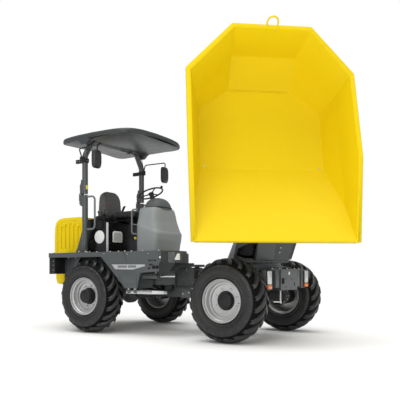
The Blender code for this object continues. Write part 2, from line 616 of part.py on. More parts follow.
def front_chassis(swing):
    """Front half: box beam with the swing bearing, slew ring seat, front plate and lamp arms."""
    rear = 0.180
    beam = prism([(rear, 0.520), (0.760, 0.520), (0.860, CHASSIS_LOW), (1.300, CHASSIS_LOW),
                  (1.300, 0.940), (rear, 0.940)], "Y", -0.230, 0.230)
    top = turned([(0.0, 0.930), (SLEW_RADIUS + 0.02, 0.930), (SLEW_RADIUS + 0.02, SLEW_HEIGHT - 2 * GAP),
                  (0.0, SLEW_HEIGHT - 2 * GAP)], (SLEW_X, 0, 0), (0, 0, 1), ROUND)
    plate = box((1.290, -0.266, 0.652), (1.494, 0.266, 0.930))
    bore = bar((rear - 0.05, 0, SWING_HEIGHT), (0.450, 0, SWING_HEIGHT), 0.0508, ROUND)
    return weld("front_chassis", PAINT_DARK, [beam, top, plate], [bore], parent=swing)


def axle(name, x, parent):
    """Axle beam with its differential housing, held to the chassis above by two pads."""
    z = TYRE_RADIUS
    beam = bar((x, -AXLE_REACH, z), (x, AXLE_REACH, z), 0.065, 16)
    case = turned([(0.0, -0.16), (0.10, -0.14), (0.145, -0.05), (0.145, 0.05), (0.10, 0.14), (0.0, 0.16)],
                  (x, 0, z), (0, 1, 0), 18)
    pads = [box((x - 0.07, y - 0.04, z), (x + 0.07, y + 0.04, CHASSIS_LOW - GAP))
            for y in (-0.185, 0.185)]
    return weld(name, PAINT_DARK, [beam, case, *pads], parent=parent)


def headlights(swing):
    """Square headlamps on the front half's arms."""
    def make():
        case = box((1.400, -0.660, 0.683), (1.504, -0.480, 0.924))
        arm = box((1.380, -0.500, 0.720), (1.398, -0.266 - GAP, 0.860))
        shelf = box((1.380, -0.660, 0.720), (1.402, -0.480, 0.880))
        return [case, arm, shelf]
    right = make()
    left = [mirrored(piece) for piece in right]
    weld("headlight_right", LENS, right, parent=swing)
    weld("headlight_left", LENS, left, parent=swing)


def turret(slew):
    """Slewing turret: ring, floor, two leaning cheeks and the front plate up to the tip pin."""
    hx, hz = TIP_PIN
    floor_top = SLEW_HEIGHT + 0.085
    base = turned([(0.0, SLEW_HEIGHT), (SLEW_RADIUS, SLEW_HEIGHT), (SLEW_RADIUS, SLEW_HEIGHT + 0.04),
                   (0.0, SLEW_HEIGHT + 0.04)], (0, 0, 0), (0, 0, 1), ROUND)
    block = box((-0.240, -0.360, SLEW_HEIGHT + 0.035), (0.600, 0.360, floor_top))
    cheek_side = [(0.120, floor_top - 0.01), (0.606, floor_top - 0.01), (0.871, 1.279),
                  (hx + 0.035, hz - 0.075), (hx + 0.055, hz), (hx + 0.035, hz + 0.045),
                  (hx - 0.010, hz + 0.052), (hx - 0.050, hz + 0.035), (0.620, 1.270)]
    cheeks = [prism(cheek_side, "Y", y, y + 0.030) for y in (-0.380, 0.350)]
    front_side = [(0.560, floor_top - 0.01), (0.606, floor_top - 0.01),
                  (hx - 0.030, hz - 0.140), (hx - 0.065, hz - 0.125)]
    front = prism(front_side, "Y", -0.365, 0.365)
    pins = [bar((hx, y, hz), (hx, y + math.copysign(0.110, y), hz), PIN_RADIUS, 16)
            for y in (-0.360, 0.360)]
    lx, lz = LIFT_BASE
    ear_side = [(lx - 0.075, floor_top - 0.01), (lx + 0.075, floor_top - 0.01),
                (lx + 0.045, lz + 0.035), (lx - 0.045, lz + 0.035)]
    ears = [prism(ear_side, "Y", y, y + 0.022) for y in (-0.075, 0.053)]
    lift_pin = bar((lx, -0.085, lz), (lx, 0.085, lz), PIN_RADIUS, 16)
    slot = prism([(0.45, 1.16), (1.30, 1.16), (1.30, 1.90), (0.45, 1.90)], "Y", -0.085, 0.085)
    solids = [base, block, *cheeks, front, *pins, *ears, lift_pin]
    return weld("turret", PAINT_DARK, solids, [slot], parent=slew)


def skip_shell():
    """The skip's folded sheet, lowered, from the front edge of its floor."""
    rear_floor, corner_floor, front_floor = (-1.137, 0.413, 0.0), (-0.827, 0.825, 0.0), (0.0, 0.820, 0.0)
    rear_bend, corner_bend, apron_bend = (-1.397, 0.423, 0.394), (-0.870, 0.912, 0.380), (0.625, 0.954, 0.3016)
    rear_rim, corner_rim = (-1.503, 0.488, 0.880), (-0.987, 1.042, 0.726)
    mid_rim, lip = (0.129, 1.042, 0.747), (1.115, 1.009, 0.538)
    faces = [
        (rear_floor, corner_floor, corner_bend, rear_bend), (rear_bend, corner_bend, corner_rim, rear_rim),
        (corner_floor, front_floor, apron_bend, corner_bend), (corner_bend, apron_bend, lip, mid_rim, corner_rim)]

    def flip(p):
        return (p[0], -p[1], p[2])

    middle = [
        [rear_floor, corner_floor, front_floor, flip(front_floor), flip(corner_floor), flip(rear_floor)],
        [front_floor, apron_bend, lip, flip(lip), flip(apron_bend), flip(front_floor)],
        [rear_floor, rear_bend, flip(rear_bend), flip(rear_floor)],
        [rear_bend, rear_rim, flip(rear_rim), flip(rear_bend)]]
    bm = bmesh.new()
    known = {}

    def vert(p):
        key = tuple(round(c, 5) for c in p)
        if key not in known:
            known[key] = bm.verts.new(p)
        return known[key]

    for face in faces:
        bm.faces.new([vert(p) for p in face])
        bm.faces.new([vert(flip(p)) for p in reversed(face)])
    for face in middle:
        bm.faces.new([vert(p) for p in face])
    bmesh.ops.triangulate(bm, faces=bm.faces)
    bmesh.ops.recalc_face_normals(bm, faces=bm.faces)
    bm.faces.ensure_lookup_table()
    floor = max(bm.faces, key=lambda f: abs(f.normal.z) - abs(f.calc_center_median().z))
    if floor.normal.z > 0:
        bmesh.ops.reverse_faces(bm, faces=bm.faces)
    mesh = bpy.data.meshes.new("skip")
    bm.to_mesh(mesh)
    bm.free()
    shell = link("skip_sheet", mesh)
    solid = shell.modifiers.new("wall", "SOLIDIFY")
    solid.thickness = SKIP_WALL
    solid.offset = 1.0
    solid.use_even_offset = True
    solid.use_quality_normals = True
    graph = bpy.context.evaluated_depsgraph_get()
    mesh = bpy.data.meshes.new_from_object(shell.evaluated_get(graph))
    bpy.data.objects.remove(shell, do_unlink=True)
    made = link("skip_sheet", mesh)
    return made


def skip(tip):
    """Tipping skip: folded sheet, rim bead, underside lugs, ram bracket and lifting eye."""
    fx, fz = FLOOR_FRONT
    shell = skip_shell()
    moved(shell, (fx, 0, fz))

    def under(x):
        return fz + (x - fx) * APRON_SLOPE - 0.004

    lug_parts, holes = [], []
    for y in (-0.440, 0.395):
        side = [(-0.200, under(-0.200)), (-0.060, -0.030), (-0.030, -0.045), (0.030, -0.045),
                (0.060, -0.020), (0.220, under(0.220))]
        lug_parts.append(prism(side, "Y", y, y + 0.045))
        holes.append(bar((0, y - 0.03, 0), (0, y + 0.075, 0), EYE_RADIUS, 16))
    bx, bz = LIFT_HEAD
    for y in (-0.078, 0.056):
        lug_parts.append(prism([(bx - 0.13, under(bx - 0.13)), (bx - 0.035, bz - 0.030),
                                (bx + 0.035, bz - 0.030), (bx + 0.16, under(bx + 0.16))], "Y", y, y + 0.022))
    loop = tube([(fx - 1.500, -0.060, fz + 0.860), (fx - 1.560, -0.075, fz + 0.930),
                 (fx - 1.560, 0.075, fz + 0.930), (fx - 1.500, 0.060, fz + 0.860)], 0.012, 0.045)
    return weld("skip", PAINT_YELLOW, [shell, *lug_parts, loop], holes, parent=tip)


# ---------------------------------------------------------------- rams
def ram(name, length, body, tail, radius, rod_radius, parent):
    """A hydraulic ram drawn along +X from its base pin: barrel with eye, and rod with eye."""
    eye = 0.038
    bore = rod_radius + 0.0006
    barrel = turned([(bore, 0.050), (bore, body - 0.005), (radius - 0.008, body), (radius, body - 0.008),
                     (radius, 0.075), (radius - 0.012, 0.040), (bore, 0.040)], (0, 0, 0), (1, 0, 0), 16)
    cap = bar((0.022, 0, 0), (0.052, 0, 0), radius - 0.012, 16)
    base_eye = bar((0, -0.028, 0), (0, 0.028, 0), eye, 16)
    hole = bar((0, -0.1, 0), (0, 0.1, 0), EYE_RADIUS, 16)
    weld(name + "_barrel", PAINT_GREY, [barrel, cap, base_eye], [hole], parent=parent)
    rod = bar((tail, 0, 0), (length - 0.030, 0, 0), rod_radius, 16)
    rod_eye = bar((length, -0.028, 0), (length, 0.028, 0), eye, 16)
    rod_hole = bar((length, -0.1, 0), (length, 0.1, 0), EYE_RADIUS, 16)
    weld(name + "_rod", STEEL, [rod, rod_eye], [rod_hole], parent=parent)


# ---------------------------------------------------------------- wheels
def wheel(name, parent, x, side):
    """Tyre and dished rim with hub, on the axle end at x; side is -1 right or 1 left."""
    half = TYRE_WIDTH / 2
    spin = empty(name + "_spin", (x, side * TRACK_HALF, TYRE_RADIUS), parent)
    tyre_profile = [
        (RIM_RADIUS + GAP, -half + 0.050), (RIM_RADIUS + 0.080, -half + 0.002), (RIM_RADIUS + 0.160, -half),
        (TYRE_RADIUS - 0.040, -half + 0.030), (TYRE_RADIUS - 0.006, -half + 0.085), (TYRE_RADIUS, 0.0),
        (TYRE_RADIUS - 0.006, half - 0.085), (TYRE_RADIUS - 0.040, half - 0.030), (RIM_RADIUS + 0.160, half),
        (RIM_RADIUS + 0.080, half - 0.002), (RIM_RADIUS + GAP, half - 0.050)]
    tyre = turned(tyre_profile, (0, 0, 0), (0, 1, 0), 32)
    weld("tyre_" + name, RUBBER, [tyre], parent=spin, smooth=True)
    face = side * 0.055
    r = RIM_RADIUS
    edge = half - 0.046
    barrel = turned([(r - 0.030, -edge), (r, -edge), (r, edge), (r - 0.030, edge)], (0, 0, 0), (0, 1, 0), 32)
    disc = turned([(0.0, face - 0.008), (r - 0.02, face - 0.008), (r - 0.02, face + 0.008), (0.0, face + 0.008)],
                  (0, 0, 0), (0, 1, 0), 32)
    hub_profile = [(0.0, -0.045), (0.130, -0.045), (0.130, 0.06), (0.105, 0.11), (0.0, 0.11)]
    if side < 0:
        hub_profile = [(radius, -along) for radius, along in reversed(hub_profile)]
    hub = turned([(radius, face + along) for radius, along in hub_profile], (0, 0, 0), (0, 1, 0), 20)
    weld("rim_" + name, SILVER, [barrel, disc, hub], parent=spin, smooth=True)


# ---------------------------------------------------------------- assembly
def heading(frm, to):
    return math.atan2(to[1] - frm[1], to[0] - frm[0])


def centre_on_origin(root):
    """Moves the root so that the machine's box stands middled over the origin."""
    bpy.context.view_layer.update()
    corners = [thing.matrix_world @ v.co for thing in bpy.context.scene.objects
               if thing.type == "MESH" for v in thing.data.vertices]
    low = [min(c[i] for c in corners) for i in range(3)]
    high = [max(c[i] for c in corners) for i in range(3)]
    root.location = (-(low[0] + high[0]) / 2, -(low[1] + high[1]) / 2, -low[2])
    bpy.context.view_layer.update()
    print("box", [round(high[i] - low[i], 4) for i in range(3)])
    print("shift", [round(c, 5) for c in root.location])


def build():
    clear_scene()
    root = empty("machine", (0, 0, 0))
    rear_chassis(root)
    deck(root)
    axle("rear_axle", REAR_AXLE_X, root)
    engine_block(root)
    seat_housing(root)
    console(root)
    seat(root)
    joystick(root)
    lower_posts(root)
    rear_lamps(root)
    rear_ballast(root)
    hood(root)
    step(root)
    steering_wheel(root)
    upper_arch(root)
    canopy(root)
    mirrors(root)

    steer = empty("centre_steer", (0, 0, 0), root)
    pivot_yoke(steer)
    swing = empty("swing", (0, 0, 0), steer)
    front_chassis(swing)
    axle("front_axle", FRONT_AXLE_X, swing)
    headlights(swing)
    slew = empty("slew", (SLEW_X, 0, 0), swing, (0, 0, SKIP_HEADING))
    turret(slew)
    tip = empty("tip", (TIP_PIN[0], 0, TIP_PIN[1]), slew, (0, SKIP_TIPPED, 0))
    skip(tip)

    # tip ram, drawn along its line with the skip as it stands
    turn = Matrix.Rotation(-SKIP_TIPPED, 2)
    head = Vector(TIP_PIN) + turn @ Vector(LIFT_HEAD)
    base = Vector(LIFT_BASE)
    line = empty("lift_line", (base.x, 0, base.y), slew, (0, -heading(base, head), 0))
    ram("tip", (head - base).length, 0.625, 0.515, LIFT_RADIUS, 0.026, line)

    start, end = Vector(STEER_BASE), Vector(STEER_HEAD)
    steer_line = empty("steer_line", (start.x, start.y, STEER_HEIGHT), root,
                       (math.radians(90), 0, heading(start, end)))
    ram("steer", (end - start).length, 0.440, 0.285, STEER_RADIUS, 0.020, steer_line)

    wheel("rear_right", root, REAR_AXLE_X, -1)
    wheel("rear_left", root, REAR_AXLE_X, 1)
    wheel("front_right", swing, FRONT_AXLE_X, -1)
    wheel("front_left", swing, FRONT_AXLE_X, 1)
    centre_on_origin(root)


build()
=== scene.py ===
import json
import math

import bmesh
import bpy
from mathutils import Matrix, Vector, noise


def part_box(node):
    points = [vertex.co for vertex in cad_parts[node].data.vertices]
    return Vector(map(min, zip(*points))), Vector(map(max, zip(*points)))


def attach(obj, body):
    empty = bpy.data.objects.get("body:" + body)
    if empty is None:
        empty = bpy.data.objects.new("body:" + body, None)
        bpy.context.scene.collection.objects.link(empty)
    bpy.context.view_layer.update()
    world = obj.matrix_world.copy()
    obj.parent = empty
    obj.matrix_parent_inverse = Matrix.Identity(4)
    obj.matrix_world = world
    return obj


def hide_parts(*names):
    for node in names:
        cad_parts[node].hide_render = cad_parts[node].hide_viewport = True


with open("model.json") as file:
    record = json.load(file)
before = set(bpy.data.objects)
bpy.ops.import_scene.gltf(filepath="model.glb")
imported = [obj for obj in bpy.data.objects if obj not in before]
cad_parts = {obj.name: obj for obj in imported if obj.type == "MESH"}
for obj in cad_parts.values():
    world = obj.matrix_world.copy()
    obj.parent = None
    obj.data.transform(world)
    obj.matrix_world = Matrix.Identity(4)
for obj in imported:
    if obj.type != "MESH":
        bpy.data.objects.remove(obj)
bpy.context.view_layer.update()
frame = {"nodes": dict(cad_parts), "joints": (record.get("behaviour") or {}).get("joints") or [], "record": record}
jointPlace = {joint["name"]: joint for joint in frame["joints"]}
print("frame loaded:", len(frame["nodes"]), "nodes")

# The machine is drawn with x = 0 at the steering pivot and y = 0 in its middle plane.
pivotPlace = jointPlace["centre_steer"]["pos_m"]
machine = Matrix.Translation((pivotPlace[0], pivotPlace[1], 0))

# The turret is drawn looking forward from its own slewing axis, and then turned.
slewPlace = jointPlace["skip_swivel"]["pos_m"]
tipPlace = jointPlace["skip_tip"]["pos_m"]
heading = math.atan2(tipPlace[1] - slewPlace[1], tipPlace[0] - slewPlace[0])
turretPlace = Matrix.Translation((slewPlace[0], slewPlace[1], 0)) @ Matrix.Rotation(heading, 4, "Z")

# The skip is drawn lowered, from its tipping pin, and then raised as it stands.
tipAngle = math.radians(jointPlace["skip_tip"]["range_deg"][1])
skipPlace = Matrix.Translation(tipPlace) @ Matrix.Rotation(heading, 4, "Z") @ Matrix.Rotation(tipAngle, 4, "Y")


# ---- node groups shared by the finishes
def newGroup(name, inputs, outputs):
    group = bpy.data.node_groups.new(name, "ShaderNodeTree")
    for label, kind, value in inputs:
        socket = group.interface.new_socket(name=label, in_out="INPUT", socket_type=kind)
        if value is not None:
            socket.default_value = value
    for label, kind in outputs:
        group.interface.new_socket(name=label, in_out="OUTPUT", socket_type=kind)
    start = group.nodes.new("NodeGroupInput")
    end = group.nodes.new("NodeGroupOutput")
    return group, start, end


def addNode(tree, kind, values=None, **settings):
    node = tree.nodes.new(kind)
    for key, value in settings.items():
        setattr(node, key, value)
    for key, value in (values or {}).items():
        node.inputs[key].default_value = value
    return node


def mixColours(tree, factor, first, second):
    mix = addNode(tree, "ShaderNodeMix", data_type="RGBA")
    tree.links.new(factor, mix.inputs[0])
    for source, socket in ((first, mix.inputs[6]), (second, mix.inputs[7])):
        if hasattr(source, "is_linked"):
            tree.links.new(source, socket)
        else:
            socket.default_value = source
    return mix.outputs[2]


def noiseAt(tree, scale, detail=3.0, roughness=0.55, stretch=None):
    where = addNode(tree, "ShaderNodeTexCoord").outputs["Object"]
    if stretch:
        mapping = addNode(tree, "ShaderNodeMapping")
        mapping.inputs["Scale"].default_value = stretch
        tree.links.new(where, mapping.inputs["Vector"])
        where = mapping.outputs["Vector"]
    texture = addNode(tree, "ShaderNodeTexNoise", {"Detail": detail, "Roughness": roughness})
    tree.links.new(where, texture.inputs["Vector"])
    if isinstance(scale, (int, float)):
        texture.inputs["Scale"].default_value = scale
    else:
        tree.links.new(scale, texture.inputs["Scale"])
    return texture.outputs["Fac"]


def rangeMap(tree, value, low, high, toLow, toHigh):
    node = addNode(tree, "ShaderNodeMapRange")
    tree.links.new(value, node.inputs["Value"])
    for label, number in (("From Min", low), ("From Max", high), ("To Min", toLow), ("To Max", toHigh)):
        node.inputs[label].default_value = number
    return node.outputs["Result"]


def maths(tree, operation, first, second=None):
    node = addNode(tree, "ShaderNodeMath", operation=operation)
    for index, source in enumerate((first, second)):
        if source is None:
            continue
        if isinstance(source, (int, float)):
            node.inputs[index].default_value = source
        else:
            tree.links.new(source, node.inputs[index])
    return node.outputs[0]


def buildSkinGroup():
    # Colour that wanders a little, patchy gloss, a fine grain and dust towards the ground.
    group, start, end = newGroup(
        "surfaceSkin",
        [("Colour", "NodeSocketColor", (0.5, 0.5, 0.5, 1)), ("Roughness", "NodeSocketFloat", 0.5),
         ("Variation", "NodeSocketFloat", 0.1), ("Grain Scale", "NodeSocketFloat", 400.0),
         ("Dust", "NodeSocketFloat", 0.1)],
        [("Colour", "NodeSocketColor"), ("Roughness", "NodeSocketFloat"), ("Height", "NodeSocketFloat")])
    broad = noiseAt(group, 1.7, 4.0)
    patch = noiseAt(group, 14.0, 5.0, 0.6)
    grain = noiseAt(group, start.outputs["Grain Scale"], 2.0)
    tone = maths(group, "SUBTRACT", maths(group, "ADD", broad, patch), 1.0)
    tone = maths(group, "MULTIPLY", tone, start.outputs["Variation"])
    bright = addNode(group, "ShaderNodeHueSaturation")
    group.links.new(start.outputs["Colour"], bright.inputs["Color"])
    group.links.new(maths(group, "ADD", tone, 1.0), bright.inputs["Value"])
    where = addNode(group, "ShaderNodeTexCoord")
    split = addNode(group, "ShaderNodeSeparateXYZ")
    group.links.new(where.outputs["Object"], split.inputs[0])
    low = rangeMap(group, split.outputs["Z"], 1.3, 0.1, 0.0, 1.0)
    speck = rangeMap(group, patch, 0.42, 0.68, 0.25, 1.0)
    dust = maths(group, "MULTIPLY", maths(group, "MULTIPLY", low, speck), start.outputs["Dust"])
    colour = mixColours(group, dust, bright.outputs["Color"], (0.33, 0.3, 0.26, 1))
    gloss = maths(group, "ADD", start.outputs["Roughness"],
                  maths(group, "MULTIPLY", maths(group, "SUBTRACT", patch, 0.5), 0.16))
    gloss = maths(group, "ADD", gloss, maths(group, "MULTIPLY", dust, 0.4))
    group.links.new(colour, end.inputs["Colour"])
    group.links.new(gloss, end.inputs["Roughness"])
    group.links.new(grain, end.inputs["Height"])
    return group


def buildHideGroup():
    # Grained hide: small cells with creases between them; the crease mask is also used for painted shade in the
    # creases.
    group, start, end = newGroup(
        "hideGrain", [("Cell Scale", "NodeSocketFloat", 300.0)],
        [("Height", "NodeSocketFloat"), ("Crease", "NodeSocketFloat")])
    where = addNode(group, "ShaderNodeTexCoord")
    cells = addNode(group, "ShaderNodeTexVoronoi", feature="DISTANCE_TO_EDGE")
    group.links.new(where.outputs["Object"], cells.inputs["Vector"])
    group.links.new(start.outputs["Cell Scale"], cells.inputs["Scale"])
    crease = rangeMap(group, cells.outputs["Distance"], 0.0, 0.18, 0.0, 1.0)
    folds = noiseAt(group, 9.0, 4.0)
    height = maths(group, "ADD", crease, maths(group, "MULTIPLY", folds, 1.2))
    group.links.new(height, end.inputs["Height"])
    group.links.new(crease, end.inputs["Crease"])
    return group


def buildRibGroup():
    # Parallel ribs along one direction, for treads and grilles.
    group, start, end = newGroup(
        "ribs", [("Pitch", "NodeSocketFloat", 0.02), ("Direction", "NodeSocketVector", (1, 0, 0))],
        [("Height", "NodeSocketFloat"), ("Groove", "NodeSocketFloat")])
    where = addNode(group, "ShaderNodeTexCoord")
    along = addNode(group, "ShaderNodeVectorMath", operation="DOT_PRODUCT")
    group.links.new(where.outputs["Object"], along.inputs[0])
    group.links.new(start.outputs["Direction"], along.inputs[1])
    turns = maths(group, "DIVIDE", along.outputs["Value"], start.outputs["Pitch"])
    wave = maths(group, "SINE", maths(group, "MULTIPLY", turns, math.tau))
    ridge = rangeMap(group, wave, -0.4, 0.4, 0.0, 1.0)
    group.links.new(ridge, end.inputs["Height"])
    group.links.new(maths(group, "SUBTRACT", 1.0, ridge), end.inputs["Groove"])
    return group


skinGroup = buildSkinGroup()
hideGroup = buildHideGroup()
ribGroup = buildRibGroup()

# what a finish has unless it says otherwise
plainFinish = {"roughness": 0.4, "metal": 0.0, "coat": 0.0, "shine": 0.35, "grain": 300, "depth": 0.03,
               "variation": 0.1, "dust": 0.0}
finishes = {
    "yellowPaint": {"colour": (0.755, 0.555, 0.004), "roughness": 0.48, "shine": 0.15, "grain": 260,
                    "depth": 0.02, "variation": 0.05, "dust": 0.002},
    "darkPaint": {"colour": (0.07, 0.077, 0.08), "roughness": 0.38, "coat": 0.2, "variation": 0.14,
                  "dust": 0.012},
    "greyPaint": {"colour": (0.155, 0.165, 0.168), "coat": 0.1, "variation": 0.08, "dust": 0.006},
    "canopyPlastic": {"colour": (0.048, 0.053, 0.056), "grain": 620, "depth": 0.1, "variation": 0.08},
    "greyMoulding": {"colour": (0.27, 0.29, 0.297), "grain": 620, "depth": 0.09, "variation": 0.06,
                     "dust": 0.004},
    "domeMoulding": {"colour": (0.095, 0.105, 0.108), "roughness": 0.52, "grain": 620, "depth": 0.12,
                     "variation": 0.08},
    "blackSheet": {"colour": (0.004, 0.004, 0.0045), "roughness": 0.28, "coat": 0.3, "depth": 0.02,
                   "variation": 0.2, "dust": 0.002},
    "blackPlastic": {"colour": (0.011, 0.011, 0.012), "roughness": 0.5, "grain": 700, "depth": 0.12,
                     "variation": 0.2, "dust": 0.006},
    "rubberHose": {"colour": (0.014, 0.014, 0.015), "roughness": 0.6, "grain": 900, "depth": 0.1,
                   "variation": 0.2, "dust": 0.012},
    "castEngine": {"colour": (0.045, 0.047, 0.05), "roughness": 0.62, "grain": 180, "depth": 0.25,
                   "variation": 0.3, "dust": 0.012},
    "rimSilver": {"colour": (0.47, 0.475, 0.475), "roughness": 0.36, "metal": 0.45, "coat": 0.2, "grain": 400,
                  "depth": 0.02, "variation": 0.06, "dust": 0.012},
    "zinc": {"colour": (0.58, 0.57, 0.54), "roughness": 0.34, "metal": 0.9, "grain": 500, "depth": 0.05,
             "variation": 0.15, "dust": 0.006},
    "chrome": {"colour": (0.82, 0.83, 0.84), "roughness": 0.1, "metal": 1.0, "depth": 0.005,
               "variation": 0.03},
    "ramPaint": {"colour": (0.2, 0.212, 0.216), "roughness": 0.38, "coat": 0.15, "dust": 0.01},
    "whitePlate": {"colour": (0.82, 0.82, 0.81), "roughness": 0.35, "coat": 0.2, "depth": 0.01,
                   "variation": 0.03, "dust": 0.002},
    "paleInset": {"colour": (0.52, 0.54, 0.56), "coat": 0.1, "depth": 0.01, "variation": 0.04, "dust": 0.002},
    "yellowPatch": {"colour": (0.9, 0.78, 0.04), "coat": 0.1, "depth": 0.01, "variation": 0.03},
    "redLens": {"colour": (0.45, 0.012, 0.008), "roughness": 0.14, "coat": 0.6, "grain": 90, "depth": 0.3,
                "dust": 0.002},
    "amberLens": {"colour": (0.85, 0.2, 0.01), "roughness": 0.14, "coat": 0.6, "grain": 90, "depth": 0.3,
                  "dust": 0.002},
    "mirrorGlass": {"colour": (0.8, 0.82, 0.83), "roughness": 0.05, "metal": 1.0, "grain": 20, "depth": 0.0,
                    "variation": 0.02},
    # lighter than the carcass: partly worn lug tops, partly painted highlight on the lugs
    "lugRubber": {"colour": (0.024, 0.0245, 0.025), "roughness": 0.36, "coat": 0.05, "depth": 0.12,
                  "variation": 0.25},
    # near black: painted shade in the gaps between the lugs
    "grooveRubber": {"colour": (0.004, 0.004, 0.0042), "roughness": 0.8, "shine": 0.1, "depth": 0.12,
                     "variation": 0.2},
    "mirrorCase": {"colour": (0.028, 0.029, 0.03), "roughness": 0.38, "coat": 0.05, "grain": 620,
                   "depth": 0.08},
    "redCap": {"colour": (0.55, 0.02, 0.015), "roughness": 0.35, "dust": 0.004},
}


def startMaterial(name, look):
    look = {**plainFinish, **look}
    made = bpy.data.materials.new(name)
    made.use_nodes = True
    tree = made.node_tree
    shader = tree.nodes["Principled BSDF"]
    shader.inputs["Metallic"].default_value = look["metal"]
    shader.inputs["Coat Weight"].default_value = look["coat"]
    shader.inputs["Coat Roughness"].default_value = 0.12
    shader.inputs["Specular IOR Level"].default_value = look["shine"]
    skin = addNode(tree, "ShaderNodeGroup", node_tree=skinGroup)
    skin.inputs["Colour"].default_value = (*look["colour"], 1)
    skin.inputs["Roughness"].default_value = look["roughness"]
    skin.inputs["Variation"].default_value = look["variation"]
    skin.inputs["Grain Scale"].default_value = look["grain"]
    skin.inputs["Dust"].default_value = look["dust"]
    tree.links.new(skin.outputs["Colour"], shader.inputs["Base Color"])
    tree.links.new(skin.outputs["Roughness"], shader.inputs["Roughness"])
    bump = addNode(tree, "ShaderNodeBump", {"Strength": 0.6, "Distance": 0.01 * look["depth"]})
    tree.links.new(skin.outputs["Height"], bump.inputs["Height"])
    tree.links.new(bump.outputs["Normal"], shader.inputs["Normal"])
    return made, tree, shader, skin, bump


def finish(name):
    made = bpy.data.materials.get(name)
    if made:
        return made
    if name in specialFinishes:
        return specialFinishes[name](name)
    return startMaterial(name, finishes[name])[0]


def tyreRubber(name):
    look = {"colour": (0.01, 0.0103, 0.0106), "roughness": 0.44, "grain": 260, "depth": 0.16,
            "variation": 0.25, "dust": 0.024, "shine": 0.45}
    made, tree, shader, skin, bump = startMaterial(name, look)
    scuff = rangeMap(tree, noiseAt(tree, 34.0, 6.0, 0.7), 0.56, 0.78, 0.0, 0.16)
    colour = mixColours(tree, scuff, skin.outputs["Colour"], (0.075, 0.075, 0.074, 1))
    tree.links.new(colour, shader.inputs["Base Color"])
    return made


def seatVinyl(name):
    look = {"colour": (0.03, 0.031, 0.033), "roughness": 0.44, "coat": 0.08, "grain": 500, "depth": 0.1,
            "variation": 0.1, "dust": 0.0}
    made, tree, shader, skin, bump = startMaterial(name, look)
    hide = addNode(tree, "ShaderNodeGroup", {"Cell Scale": 260.0}, node_tree=hideGroup)
    tree.links.new(hide.outputs["Height"], bump.inputs["Height"])
    bump.inputs["Distance"].default_value = 0.0011
    # painted shade: the creases between the grain's cells are coloured darker than the cells
    dark = mixColours(tree, hide.outputs["Crease"], (0.018, 0.018, 0.019, 1), skin.outputs["Colour"])
    tree.links.new(dark, shader.inputs["Base Color"])
    return made


def greyVinyl(name):
    made = seatVinyl(name)
    tree = made.node_tree
    for node in tree.nodes:
        if node.type == "GROUP" and node.node_tree == skinGroup:
            node.inputs["Colour"].default_value = (0.15, 0.154, 0.158, 1)
            node.inputs["Roughness"].default_value = 0.36
    return made


def treadAluminium(name):
    look = {"colour": (0.56, 0.57, 0.57), "roughness": 0.36, "metal": 0.8, "grain": 400, "depth": 0.05,
            "variation": 0.1, "dust": 0.019}
    made, tree, shader, skin, bump = startMaterial(name, look)
    ribs = addNode(tree, "ShaderNodeGroup", {"Pitch": 0.016, "Direction": (0, 1, 0)}, node_tree=ribGroup)
    tree.links.new(ribs.outputs["Height"], bump.inputs["Height"])
    bump.inputs["Distance"].default_value = 0.0018
    return made


def deckPaint(name):
    # Raised anti-slip studs in the paint of the platform's top.
    made, tree, shader, skin, bump = startMaterial(name, dict(finishes["darkPaint"], roughness=0.5))
    where = addNode(tree, "ShaderNodeTexCoord")
    studs = addNode(tree, "ShaderNodeTexVoronoi", {"Scale": 34.0, "Randomness": 0.0})
    tree.links.new(where.outputs["Object"], studs.inputs["Vector"])
    dome = rangeMap(tree, studs.outputs["Distance"], 0.3, 0.18, 0.0, 1.0)
    tree.links.new(dome, bump.inputs["Height"])
    bump.inputs["Distance"].default_value = 0.0022
    return made


def clearLens(name):
    # A clear cover over a bright faceted reflector, its facets coloured lighter in their middles and darker at their
    # edges as painted reflection.
    look = {"colour": (0.74, 0.75, 0.76), "roughness": 0.12, "coat": 1.0, "grain": 60, "depth": 0.1,
            "variation": 0.15, "dust": 0.0, "metal": 0.35}
    made, tree, shader, skin, bump = startMaterial(name, look)
    where = addNode(tree, "ShaderNodeTexCoord")
    facets = addNode(tree, "ShaderNodeTexVoronoi", {"Scale": 48.0, "Randomness": 0.35}, distance="CHEBYCHEV")
    tree.links.new(where.outputs["Object"], facets.inputs["Vector"])
    tree.links.new(facets.outputs["Distance"], bump.inputs["Height"])
    bump.inputs["Distance"].default_value = 0.006
    # painted reflection: each facet lighter in its middle and darker towards its edge
    shade = rangeMap(tree, facets.outputs["Distance"], 0.1, 0.6, 1.0, 0.35)
    colour = mixColours(tree, shade, (0.3, 0.31, 0.32, 1), skin.outputs["Colour"])
    tree.links.new(colour, shader.inputs["Base Color"])
    return made


def grilleMesh(name):
    made, tree, shader, skin, bump = startMaterial(name, finishes["blackPlastic"])
    ribs = addNode(tree, "ShaderNodeGroup", {"Pitch": 0.012, "Direction": (0, 0, 1)}, node_tree=ribGroup)
    tree.links.new(ribs.outputs["Height"], bump.inputs["Height"])
    bump.inputs["Distance"].default_value = 0.004
    # painted shade: the grooves between the ribs are coloured near black
    dark = mixColours(tree, ribs.outputs["Groove"], skin.outputs["Colour"], (0.004, 0.004, 0.004, 1))
    tree.links.new(dark, shader.inputs["Base Color"])
    return made


def bellowsRubber(name):
    made, tree, shader, skin, bump = startMaterial(name, finishes["rubberHose"])
    ribs = addNode(tree, "ShaderNodeGroup", {"Pitch": 0.02, "Direction": (0, 0, 1)}, node_tree=ribGroup)
    tree.links.new(ribs.outputs["Height"], bump.inputs["Height"])
    bump.inputs["Distance"].default_value = 0.006
    return made


